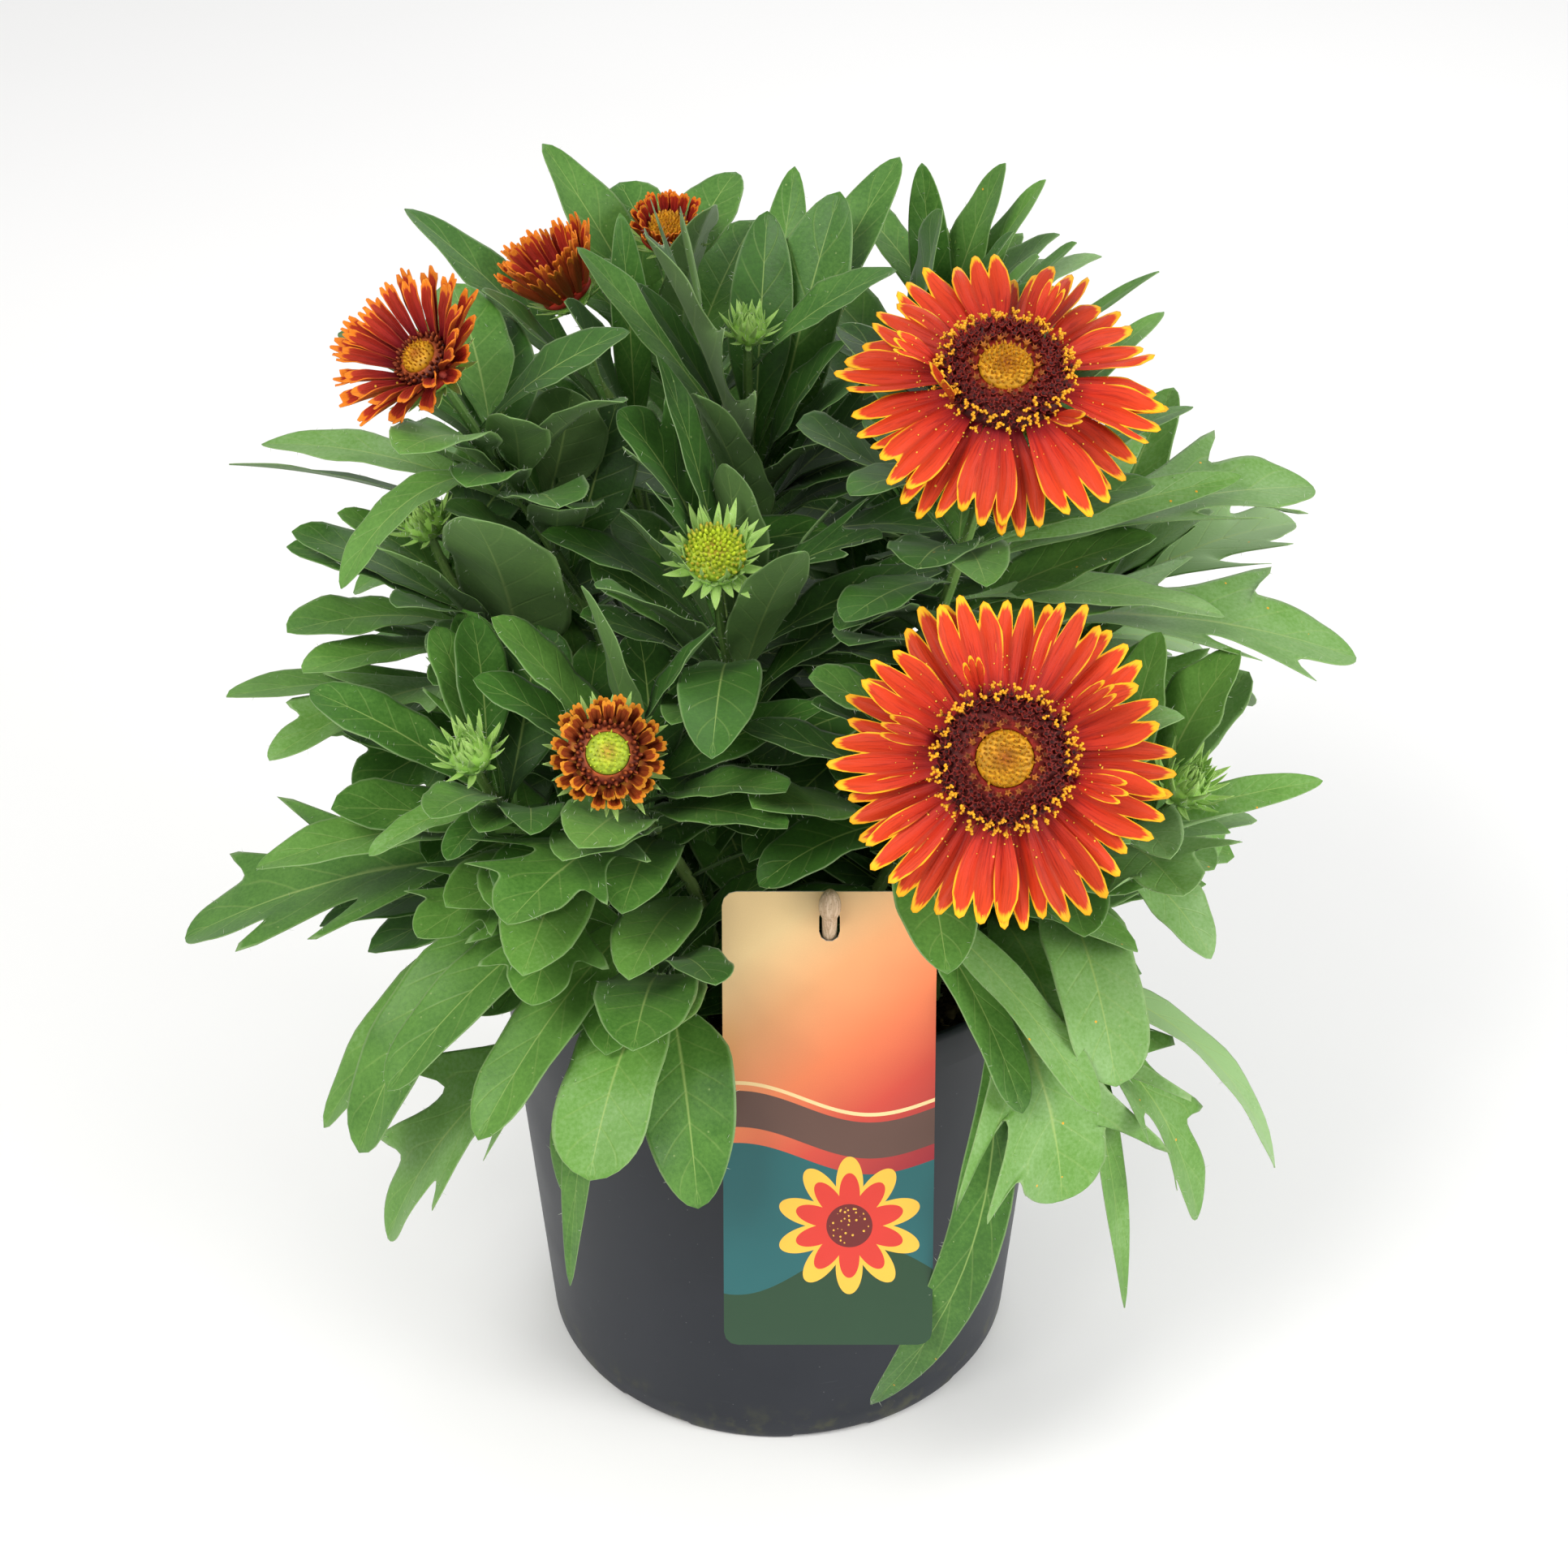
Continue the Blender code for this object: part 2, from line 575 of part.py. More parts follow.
def bracts(name, count, root, height, length, rise, bow, width, turn=0.0):
    """A whorl of bracts that leave the head at a rise and bow outward."""
    made = []
    for index in range(count):
        angle = 2 * math.pi * (index + turn) / count
        reach = length * (1.0 + 0.16 * math.sin(index * 2.4))
        slope = math.radians(rise)
        far = math.radians(rise + bow)
        middle_radius = root + reach * 0.5 * math.cos(slope)
        middle_height = height + reach * 0.5 * math.sin(slope)
        end_radius = middle_radius + reach * 0.5 * math.cos(far)
        end_height = middle_height + reach * 0.5 * math.sin(far)
        made.append(spike("%s_bract_%02d" % (name, index), around(root, height, angle),
                          around(middle_radius, middle_height, angle),
                          around(end_radius, end_height, angle), width, 0.9 * MM))
    return made


def well_floor(outer, inner, low, dome):
    """The height of the flat that a disc's centre stands on."""
    return low + DISC_SKIRT + dome * math.sqrt(1.0 - (inner / outer) ** 2) - WELL_DROP


def relief_dome(name, outer, inner, low, dome, rings, sectors, bump, look):
    """A disc of florets: a dome whose points stand out by turns, with a well for its centre if inner is set."""
    points = []
    rows = []

    def ring(radius, height, lift=0.0, phase=0):
        rows.append(list(range(len(points), len(points) + sectors)))
        for sector in range(sectors):
            angle = 2 * math.pi * (sector + 0.5 * (phase % 2)) / sectors
            raised = lift if (sector + phase // 2) % 2 else 0.0
            points.append(around(radius + raised * 0.4 * radius / outer, height + raised, angle))

    ring(outer * 0.94, low)
    ring(outer, low + DISC_SKIRT)
    for index in range(1, rings + 1):
        share = index / (rings + (0 if inner else 1))
        radius = outer + (inner - outer) * share
        height = low + DISC_SKIRT + dome * math.sqrt(1.0 - (radius / outer) ** 2)
        ring(radius, height, bump, index)
    top = low + DISC_SKIRT + dome + bump * 0.5
    if inner:
        top = well_floor(outer, inner, low, dome)
        ring(inner - 0.1 * MM, top)
    faces = []
    for low_row, high_row in zip(rows, rows[1:]):
        for sector in range(sectors):
            after = (sector + 1) % sectors
            faces.append((low_row[sector], low_row[after], high_row[after]))
            faces.append((low_row[sector], high_row[after], high_row[sector]))
    for row, height in ((rows[0], low), (rows[-1], top)):
        points.append(Vector((0, 0, height)))
        for sector in range(sectors):
            faces.append((row[sector], row[(sector + 1) % sectors], len(points) - 1))
    return make_object(name, points, faces, look)


def ray_petal(name, angle, start, length, width, rise, fall):
    """A closed broad ray with a narrow root, a rib and three teeth at its end."""
    out = around(1.0, 0.0, angle)
    up = Vector((0, 0, 1))
    across = up.cross(out).normalized()
    slope = math.radians(rise)
    far = math.radians(fall)
    middle = start + (out * math.cos(slope) + up * math.sin(slope)) * length * 0.5
    end = middle + (out * math.cos(far) + up * math.sin(far)) * length * 0.5
    lift = (up * math.cos((slope + far) / 2) - out * math.sin((slope + far) / 2))

    def spot(share, side, height=0.0):
        return bend(start, middle, end, share) + (across * side / 2 + lift * height) * width

    outline = [spot(0.0, -2 * RAY_ROOT), spot(0.52, -0.92, 0.03), spot(0.84, -1.0, 0.03), spot(0.98, -0.62, 0.02),
               spot(0.88, -0.34, 0.03), spot(1.03, 0.0), spot(0.88, 0.34, 0.03), spot(0.98, 0.62, 0.02),
               spot(0.84, 1.0, 0.03), spot(0.52, 0.92, 0.03), spot(0.0, 2 * RAY_ROOT)]
    rib = spot(0.55, 0.0)
    triangles = [(0, 1, 11), (1, 4, 11), (1, 2, 4), (2, 3, 4), (4, 6, 11), (4, 5, 6),
                 (6, 9, 11), (6, 8, 9), (6, 7, 8), (9, 10, 11), (10, 0, 11)]
    flat = outline + [rib]
    count = len(flat)
    points = [place + lift * PETAL_THICKNESS / 2 for place in flat]
    points += [place - lift * PETAL_THICKNESS / 2 for place in flat]
    faces = []
    for triangle in triangles:
        faces.append(triangle)
        faces.append(tuple(count + place for place in reversed(triangle)))
    edge = len(outline)
    for index in range(edge):
        after = (index + 1) % edge
        faces.append((index, after, count + after))
        faces.append((index, count + after, count + index))
    return make_object(name, points, faces)


def quill_petal(name, angle, start, length, width, rise, fall):
    """A narrow rolled ray of three sides that widens from its root and ends in a point."""
    out = around(1.0, 0.0, angle)
    up = Vector((0, 0, 1))
    across = up.cross(out).normalized()
    slope = math.radians(rise)
    far = math.radians(fall)
    middle = start + (out * math.cos(slope) + up * math.sin(slope)) * length * 0.62
    end = middle + (out * math.cos(far) + up * math.sin(far)) * length * 0.38
    back = out * math.sin(slope) - up * math.cos(slope)
    points = []
    for centre, size in ((start, 0.55), (middle, 1.0)):
        points.append(centre - across * width / 2 * size)
        points.append(centre + across * width / 2 * size)
        points.append(centre + back * QUILL_DEPTH * width * size)
    points.append(end)
    faces = [(0, 2, 1)]
    for side in range(3):
        after = (side + 1) % 3
        faces.append((side, after, 3 + after, 3 + side))
        faces.append((3 + side, 3 + after, 6))
    return make_object(name, points, faces)


def head_levels(size):
    """Heights over the stalk's end: top of the green cup, hub, top of the hub, underside of the disc."""
    disc_low = (size["depth"] - size["dome"] - 0.9) * MM
    if not size["rays"]:
        return disc_low - GAP, None, None, disc_low
    hub_top = disc_low - GAP
    hub_low = hub_top - HUB_DEPTH
    return hub_low - GAP, hub_low, hub_top, disc_low


def rays(head, look):
    """A ring of rays in one body with the stepped hub that they grow from."""
    size = HEADS[head]
    _, low, top, _ = head_levels(size)
    hub_radius = size["hub"] * MM
    hub = turned(head + "_rays", [(0, low), (hub_radius, low), (hub_radius, top), (0, top)], size["rays"], look)
    made = []
    count = size["rays"]
    for index in range(count):
        turn = (index + 0.5) / count * 2 * math.pi
        wander = math.sin(index * 2.1)
        drop = size["lean"] * max(math.cos(turn), 0.0) ** 2
        name = "%s_ray_%02d" % (head, index)
        layer = index % 2 if size["toothed"] else 0
        start = around(hub_radius - 1.2 * MM, low + HUB_DEPTH * RAY_LAYERS[layer], turn)
        length = size["length"] * (1.0 + 0.05 * wander) * MM
        width = size["width"] * (1.0 + 0.08 * math.sin(index * 3.3)) * MM
        rise = size["rise"] - drop * 0.4 + 0.6 * wander
        fall = size["fall"] - drop - wander
        if size["toothed"]:
            parting = RAY_PARTING * (2 * layer - 1)
            made.append(ray_petal(name, turn, start, length, width, rise + parting, fall + parting))
        else:
            made.append(quill_petal(name, turn, start, length, width, rise, fall))
    boolean(hub, "UNION", made)
    return hub


def bud_green(head, size):
    """A green bud: a ball in three whorls of bracts."""
    ball = size["ball"] * MM
    depth = size["depth"] * MM
    profile = [(0, -0.6 * MM), (ball * 0.5, 0), (ball, ball * 0.6), (ball * 0.9, depth * 0.72), (0, depth)]
    green = [turned(head + "_ball", profile, 6)]
    green += bracts(head + "_low", 6, ball * 0.45, ball * 0.4, ball * 1.7, 12, 34, 3.0 * MM, 0.5)
    green += bracts(head + "_top", 5, ball * 0.40, depth * 0.5, ball * 1.5, 58, 10, 2.8 * MM)
    return green


def cup_green(head, size):
    """The green cup under a bloom, with its bracts."""
    cup_top = head_levels(size)[0]
    cup = (size["hub"] if size["rays"] else size["disc"] + 1.4) * MM
    profile = [(0, -0.8 * MM), (2.2 * MM, -0.4 * MM), (cup * 0.78, cup_top * 0.35), (cup * 0.9, cup_top),
               (0, cup_top)]
    green = [turned(head + "_cup", profile, 8)]
    if size["rays"]:
        rise = min(size["rise"] - 34, 16)
        green += bracts(head + "_out", 7, cup * 0.5, cup_top * 0.45, cup * 1.1, rise, -6, 3.2 * MM, 0.5)
        return green
    green += bracts(head + "_low", 8, cup * 0.6, cup_top * 0.35, cup * 1.1, 4, 34, 3.0 * MM, 0.5)
    green += bracts(head + "_top", 8, cup * 0.7, cup_top * 0.6, cup * 0.9, 30, 30, 2.8 * MM)
    return green


def build_head(key, looks):
    """The coloured parts of a head, and the green pieces that its stem is fused with."""
    head = STEMS[key][3]
    size = HEADS[head]
    place = head_place(key)
    parts = []
    if "ball" in size:
        green = bud_green(head, size)
    else:
        green = cup_green(head, size)
        disc_low = head_levels(size)[3]
        if size["rays"]:
            parts.append(rays(head, looks["rays"]))
        bump = (1.3 if size["disc"] > 12 else 0.8) * MM
        inner = size["well"] * MM
        parts.append(relief_dome(head + "_disc", size["disc"] * MM, inner, disc_low, size["dome"] * MM,
                                 size["rings"], size["sectors"], bump, looks["disc"]))
        if inner:
            floor = well_floor(size["disc"] * MM, inner, disc_low, size["dome"] * MM)
            parts.append(relief_dome(head + "_centre", inner - 0.6 * MM, 0.0, floor + GAP, 2.0 * MM, 2, 10,
                                     0.5 * MM, looks["centre"]))
    for item in parts + green:
        put(item, place)
    return parts, green


def stem_mesh(key):
    """A stem that stands upright in its hole, then follows its curve to the head."""
    path = [stem_curve(key, share) for share in STEM_SHARES]
    radii = [STEM_RADIUS + (STALK_RADIUS - STEM_RADIUS) * share for share in STEM_SHARES]
    foot = path[0] - Vector((0, 0, STEM_RISE_OUT + STEM_HOLE_DEPTH - GAP))
    return tube_mesh([foot] + path, [STEM_RADIUS] + radii, STEM_SIDES)


class Neighbours:
    """What stands near the leaves: a search tree for each solid, with its owner's name."""

    def __init__(self):
        self.trees = []

    def add(self, owner, points, faces):
        self.trees.append((owner, BVHTree.FromPolygons(points, faces), *bounds(points)))

    def add_object(self, owner, item):
        points = [vertex.co.copy() for vertex in item.data.vertices]
        self.add(owner, points, [tuple(face.vertices) for face in item.data.polygons])

    def touched(self, owner, points, faces):
        tree = BVHTree.FromPolygons(points, faces)
        low, high = bounds(points)
        for other, other_tree, other_low, other_high in self.trees:
            if other == owner:
                continue
            if any(low[axis] > other_high[axis] or high[axis] < other_low[axis] for axis in range(3)):
                continue
            if tree.overlap(other_tree):
                return other
        return None


def bounds(points):
    low = [min(point[axis] for point in points) for axis in range(3)]
    high = [max(point[axis] for point in points) for axis in range(3)]
    return low, high


def swung(start, tip, swing, lift):
    """A tip turned round the upright through its leaf's root, and lifted."""
    reach = tip - start
    turned_reach = Matrix.Rotation(math.radians(swing), 3, "Z") @ reach
    return start + turned_reach + Vector((0, 0, lift * MM))


def grow_leaf(neighbours, own, key, share, tip, width, arch, roll, shape):
    """A leaf's rows, bent clear by the smallest swing and lift that does it.

    It clears all other nodes, and past its stalk also its own stem's leaves, if any step does.
    """
    start = stem_curve(key, share)
    second_best = None
    for swing, lift in CLEAR_STEPS:
        end = swung(start, tip, swing, lift)
        rows = leaf_rows(start, end, width * MM, arch, roll, shape)
        if neighbours.touched(key, *blade_mesh(rows, CLEAR_THICKNESS)):
            continue
        second_best = second_best or rows
        if not own.touched(None, *blade_mesh(rows[1:], BLADE_THICKNESS)):
            break
    else:
        rows = second_best
    if rows:
        neighbours.add(key, *blade_mesh(rows, CLEAR_THICKNESS))
        own.add("blade", *blade_mesh(rows[1:], BLADE_THICKNESS))
    return rows


def grow_leaves(neighbours):
    """The blades of each stem."""
    grown = {key: [] for key in STEMS}
    own = {key: Neighbours() for key in STEMS}
    for key, share, tip, width, arch, roll, shape in LEAVES:
        shape = "small" if width < SMALL_WIDTH else shape
        rows = grow_leaf(neighbours, own[key], key, share, Vector(tip) * MM, width * FULLNESS, arch, roll, shape)
        if rows is None:
            print("no room for", key, tip)
            continue
        grown[key].append(rows)
    return grown


def build_stem(key, leaves, green, look):
    """A stem with the leaves and the green parts of its head, fused in one body."""
    stem = make_object("leafy_stem_" + key, *stem_mesh(key), look)
    pieces = []
    for index, rows in enumerate(leaves):
        pieces.append(make_object("leaf_%s_%02d" % (key, index), *blade_mesh(rows, BLADE_THICKNESS)))
    boolean(stem, "UNION", pieces + green)
    return stem


def inner_radius(height):
    """The pot's inner radius at a height over the surface."""
    share = height / POT_HEIGHT
    return BASE_RADIUS + (WALL_TOP_RADIUS - BASE_RADIUS) * share - WALL


def build_pot(look):
    top_inside = RIM_RADIUS - WALL
    step_low = POT_HEIGHT - COLLAR_DEPTH
    step_high = step_low + 0.003
    profile = [(0, 0), (BASE_RADIUS - FOOT_ROUND, 0), (BASE_RADIUS - FOOT_ROUND * 0.3, FOOT_ROUND * 0.3),
               (BASE_RADIUS, FOOT_ROUND), (WALL_TOP_RADIUS, step_low - 0.001), (COLLAR_RADIUS, step_low),
               (RIM_RADIUS, POT_HEIGHT - 0.003), (RIM_RADIUS, POT_HEIGHT - 0.0006), (RIM_RADIUS - 0.0006, POT_HEIGHT),
               (top_inside, POT_HEIGHT), (COLLAR_RADIUS - WALL, step_high),
               (WALL_TOP_RADIUS - WALL, step_low), (BASE_RADIUS - WALL, FOOT_ROUND + WALL),
               (BASE_RADIUS - FOOT_ROUND - WALL, WALL), (0, WALL)]
    pot = turned("pot", profile, POT_SIDES, look)
    cutters = []
    for index in range(NOTCH_COUNT):
        angle = math.radians(NOTCH_PHASE + index * 360 / NOTCH_COUNT)
        cutters.append(box("notch_%d" % index, (NOTCH_WIDTH, NOTCH_DEPTH, NOTCH_HEIGHT), angle,
                           BASE_RADIUS - 0.002, 0.0))
    boolean(pot, "DIFFERENCE", cutters)
    smooth(pot)
    return pot


def box(name, size, angle, radius, height):
    """A block centred on the surface at an angle round the pot, 0 at the front."""
    wide, deep, tall = (value / 2 for value in size)
    corners = [Vector((x, y, z)) for z in (-tall, tall) for y in (-deep, deep) for x in (-wide, wide)]
    faces = [(0, 2, 3, 1), (4, 5, 7, 6), (0, 1, 5, 4), (2, 6, 7, 3), (0, 4, 6, 2), (1, 3, 7, 5)]
    made = make_object(name, corners, faces)
    return put(made, Matrix.Translation(around(radius, height, angle)) @ Matrix.Rotation(angle, 4, "Z"))


def build_soil(look):
    """The soil that fills the pot, uneven on top, with a plain hole for each stem and the peg."""
    top = POT_HEIGHT - SOIL_DROP
    points = []
    faces = []
    sides = POT_SIDES
    rings = [(BASE_RADIUS - FOOT_ROUND - WALL - 3 * GAP, WALL + GAP),
             (BASE_RADIUS - WALL - 3 * GAP, FOOT_ROUND + WALL + 2 * GAP),
             (inner_radius(top) - 3 * GAP, top - 0.002), (0.070, top), (0.036, top + 0.001)]
    for index, (radius, height) in enumerate(rings):
        for side in range(sides):
            angle = 2 * math.pi * side / sides
            rough = SOIL_ROUGHNESS * math.sin(side * 2.6 + index * 1.9) if index > 2 else 0.0
            points.append(around(radius, height + rough, angle))
    for index in range(len(rings) - 1):
        for side in range(sides):
            after = (side + 1) % sides
            low, high = index * sides, (index + 1) * sides
            faces.append((low + side, low + after, high + after))
            faces.append((low + side, high + after, high + side))
    for first, height in ((0, WALL + GAP), ((len(rings) - 1) * sides, top + 0.002)):
        points.append(Vector((0, 0, height)))
        for side in range(sides):
            faces.append((first + side, first + (side + 1) % sides, len(points) - 1))
    soil = make_object("soil", points, faces, look)
    cutters = []
    for key in STEMS:
        foot = STEMS[key][0]
        radius = STEM_RADIUS + STEM_HOLE_SLACK
        cutter = turned("hole_" + key, [(0, 0), (radius, 0), (radius, 0.05), (0, 0.05)], STEM_SIDES)
        spot = (foot[0] * MM, foot[1] * MM, top - STEM_HOLE_DEPTH)
        cutters.append(put(cutter, Matrix.Translation(spot)))
    low_end, way = peg_line()
    radius = PEG_RADIUS + GAP * 1.5
    cutter = turned("hole_peg", [(0, 0), (radius, 0), (radius, 0.06), (0, 0.06)], PEG_SIDES)
    turn = Vector((0, 0, 1)).rotation_difference(way).to_matrix().to_4x4()
    cutters.append(put(cutter, Matrix.Translation(low_end - way * GAP) @ turn))
    boolean(soil, "DIFFERENCE", cutters)
    return soil


def card_frame():
    """The matrix of the card: x across, z up its face, its back leaning on the rim."""
    tilt = math.radians(CARD_TILT)
    rest = Vector((CARD_X, -RIM_RADIUS - GAP - CARD_THICKNESS, POT_HEIGHT + GAP))
    up = Vector((0, math.sin(tilt), math.cos(tilt)))
    outward = Vector((0, -math.cos(tilt), math.sin(tilt)))
    across = Vector((1, 0, 0))
    frame = Matrix((across, -outward, up)).transposed().to_4x4()
    return Matrix.Translation(rest) @ frame


def peg_line():
    """The peg's lower end and its direction: it passes through the hole in the card."""
    hole = card_frame() @ Vector((0, CARD_THICKNESS / 2, CARD_ABOVE_RIM - CARD_HOLE_DROP))
    lean = math.radians(PEG_LEAN)
    way = Vector((0, -math.sin(lean), math.cos(lean)))
    top_of_soil = POT_HEIGHT - SOIL_DROP
    reach = (hole.z - top_of_soil) / way.z + PEG_DEPTH
    return hole - way * reach, way


def build_card(look):
    """A thin card with round corners and a slot for the peg."""
    points = []
    low = CARD_ABOVE_RIM - CARD_HEIGHT
    corners = ((CARD_WIDTH / 2, low, -90), (CARD_WIDTH / 2, CARD_ABOVE_RIM, 0),
               (-CARD_WIDTH / 2, CARD_ABOVE_RIM, 90), (-CARD_WIDTH / 2, low, 180))
    for x, z, first in corners:
        centre_x = x - math.copysign(CARD_CORNER, x)
        centre_z = z + CARD_CORNER if z == low else z - CARD_CORNER
        for step in range(4):
            angle = math.radians(first + 30 * step)
            points.append((centre_x + CARD_CORNER * math.cos(angle), centre_z + CARD_CORNER * math.sin(angle)))
    card = plate("care_card", points, CARD_THICKNESS, look)
    slot = []
    straight = (CARD_HOLE_LENGTH - CARD_HOLE_WIDTH) / 2
    middle = CARD_ABOVE_RIM - CARD_HOLE_DROP
    for end, first in ((straight, 0), (-straight, 180)):
        for step in range(6):
            angle = math.radians(first + 36 * step)
            slot.append((CARD_HOLE_WIDTH / 2 * math.cos(angle), middle + end + CARD_HOLE_WIDTH / 2 * math.sin(angle)))
    cutter = plate("slot", slot, CARD_THICKNESS * 3, None)
    cutter.data.transform(Matrix.Translation((0, -CARD_THICKNESS, 0)))
    boolean(card, "DIFFERENCE", [cutter])
    return put(card, card_frame())


def plate(name, outline, thickness, look):
    points = [Vector((x, y, z)) for y in (0.0, thickness) for x, z in outline]
    count = len(outline)
    faces = [tuple(range(count)), tuple(range(2 * count - 1, count - 1, -1))]
    for index in range(count):
        after = (index + 1) % count
        faces.append((index, after, count + after, count + index))
    return make_object(name, points, faces, look)


def build_peg(look):
    """A turned wooden peg with a thicker, blunt-pointed head over the card."""
    low_end, way = peg_line()
    neck = ((card_frame() @ Vector((0, 0, CARD_ABOVE_RIM - CARD_HOLE_DROP))) - low_end).length + 0.003
    head = PEG_HEAD_RADIUS
    profile = [(0, 0), (0.0008, 0), (PEG_RADIUS, 0.007), (PEG_RADIUS, neck), (head * 0.93, neck + 0.003),
               (head, neck + 0.005), (head * 0.86, neck + 0.008), (head * 0.42, neck + PEG_HEAD_LENGTH),
               (0, neck + PEG_HEAD_LENGTH + 0.0003)]
    peg = turned("wooden_peg", profile, PEG_SIDES, look)
    turn = Vector((0, 0, 1)).rotation_difference(way).to_matrix().to_4x4()
    put(peg, Matrix.Translation(low_end) @ turn)
    smooth(peg)
    return peg


def main():
    clear_scene()
    neighbours = Neighbours()
    fixed = [build_pot(material("pot_plastic", (0.045, 0.050, 0.062), 0.5)),
             build_soil(material("soil", (0.030, 0.020, 0.014), 0.95)),
             build_card(material("printed_card", (0.60, 0.22, 0.12), 0.35)),
             build_peg(material("peg_wood", (0.52, 0.38, 0.25), 0.7))]
    for item in fixed:
        neighbours.add_object(item.name, item)
    green = material("leaf_green", (0.055, 0.135, 0.045), 0.55)
    red = material("ray_red", (0.62, 0.045, 0.018), 0.5)
    ember = material("ray_dark_red", (0.24, 0.012, 0.008), 0.5)
    brown = material("ray_brown", (0.33, 0.09, 0.02), 0.55)
    maroon = material("disc_maroon", (0.10, 0.006, 0.006), 0.6)
    gold = material("disc_gold", (0.60, 0.33, 0.02), 0.6)
    lime = material("disc_lime", (0.42, 0.48, 0.04), 0.6)
    head_looks = {
        "a": dict(rays=red, disc=maroon, centre=gold),
        "b": dict(rays=red, disc=maroon, centre=gold),
        "c": dict(rays=ember, disc=maroon, centre=gold),
        "d": dict(rays=ember, disc=gold),
        "e": dict(rays=ember, disc=gold),
        "f": dict(rays=brown, disc=maroon, centre=lime),
        "g": dict(disc=lime),
    }
    head_green = {}
    for key in STEMS:
        neighbours.add(key, *stem_mesh(key))
        head_green[key] = []
        if STEMS[key][3]:
            parts, head_green[key] = build_head(key, head_looks.get(key))
            for item in parts:
                neighbours.add_object(item.name, item)
            for item in head_green[key]:
                neighbours.add_object(key, item)
    leaves = grow_leaves(neighbours)
    for key in STEMS:
        build_stem(key, leaves[key], head_green[key], green)


main()
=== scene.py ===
import math
import random

import bpy
import mathutils
import numpy as np
from mathutils import Matrix, Quaternion, Vector
from mathutils.bvhtree import BVHTree
from mathutils.kdtree import KDTree


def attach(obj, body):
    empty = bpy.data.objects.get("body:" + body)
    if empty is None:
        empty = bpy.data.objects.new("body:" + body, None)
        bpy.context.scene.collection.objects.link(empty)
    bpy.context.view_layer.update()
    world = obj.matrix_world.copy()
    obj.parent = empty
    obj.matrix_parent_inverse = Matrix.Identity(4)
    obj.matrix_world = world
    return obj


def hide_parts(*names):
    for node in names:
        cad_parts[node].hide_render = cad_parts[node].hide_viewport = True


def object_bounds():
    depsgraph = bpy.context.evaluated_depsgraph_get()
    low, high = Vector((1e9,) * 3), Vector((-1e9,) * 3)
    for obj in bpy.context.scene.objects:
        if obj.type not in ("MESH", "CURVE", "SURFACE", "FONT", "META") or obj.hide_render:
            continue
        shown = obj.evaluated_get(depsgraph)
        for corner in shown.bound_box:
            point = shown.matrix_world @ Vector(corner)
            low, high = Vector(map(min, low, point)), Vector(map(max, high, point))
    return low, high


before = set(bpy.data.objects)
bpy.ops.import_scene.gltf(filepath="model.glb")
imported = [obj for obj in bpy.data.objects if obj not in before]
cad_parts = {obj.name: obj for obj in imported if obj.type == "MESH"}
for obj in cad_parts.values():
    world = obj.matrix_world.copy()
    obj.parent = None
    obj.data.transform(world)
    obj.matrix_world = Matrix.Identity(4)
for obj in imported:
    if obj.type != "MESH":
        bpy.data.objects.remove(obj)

# Blanket flower in its nursery pot. The solids give the places, this script gives the looks.
# Metres, +Z up, front at -Y. The plant tables are in millimetres.

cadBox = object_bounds()
mm = 0.001
goldenAngle = math.radians(137.5)
draw = random.Random(7)


# Camera, floor and light

viewFrom = {"place": (0.0018, -0.775, 0.724), "tilt": 56.0, "lens": 71.0}


def makeCamera():
    data = bpy.data.cameras.new("camera")
    data.lens = viewFrom["lens"]
    data.sensor_width = 36.0
    data.clip_start = 0.02
    camera = newObject("camera", data)
    camera.location = viewFrom["place"]
    camera.rotation_euler = (math.radians(viewFrom["tilt"]), 0.0, 0.0)
    bpy.context.scene.camera = camera


studio = {
    "sky": 0.60,
    "floor": 6.0,  # how far it reaches
    "lamps": {  # place, aimed at, size, power, colour
        "key": ((-0.75, -0.85, 1.45), (0.0, 0.0, 0.24), 0.7, 18.0, (1.0, 0.985, 0.95)),
        "fill": ((1.1, -0.7, 0.8), (0.0, 0.0, 0.2), 0.7, 13.0, (1.0, 0.99, 0.97)),
        "back": ((0.3, 1.3, 1.2), (0.0, 0.0, 0.25), 0.9, 6.0, (1.0, 1.0, 1.0)),
    },
}


def makeStudio():
    scene = bpy.context.scene
    scene.view_settings.view_transform = "Standard"
    world = bpy.data.worlds.new("studio")
    world.use_nodes = True
    world.node_tree.nodes["Background"].inputs["Color"].default_value = (1.0, 1.0, 1.0, 1.0)
    world.node_tree.nodes["Background"].inputs["Strength"].default_value = studio["sky"]
    scene.world = world
    for name, (place, aim, size, power, colour) in studio["lamps"].items():
        data = bpy.data.lights.new(name, "AREA")
        data.size = size
        data.energy = power
        data.color = colour
        lamp = newObject(name, data)
        lamp.location = place
        lamp.rotation_euler = (Vector(aim) - Vector(place)).to_track_quat("-Z", "Y").to_euler()
    reach = studio["floor"]
    floor = meshObject("floor", [(-reach, -reach, 0), (reach, -reach, 0), (reach, reach, 0), (-reach, reach, 0)],
                       [(0, 1, 2, 3)])
    floor.data.materials.append(floorFinish())


# Small tools for meshes

def newObject(name, data):
    made = bpy.data.objects.new(name, data)
    bpy.context.scene.collection.objects.link(made)
    return made


def meshObject(name, points, faces):
    mesh = bpy.data.meshes.new(name)
    mesh.from_pydata([tuple(point) for point in points], [], faces)
    return newObject(name, mesh)


def ease(low, high, value):
    share = np.clip((value - low) / (high - low), 0.0, 1.0)
    return share * share * (3 - 2 * share)


def around(radius, height, angle):
    return Vector((radius * math.sin(angle), -radius * math.cos(angle), height))


def unit(vectors):
    return vectors / np.maximum(np.linalg.norm(vectors, axis=-1, keepdims=True), 1e-12)


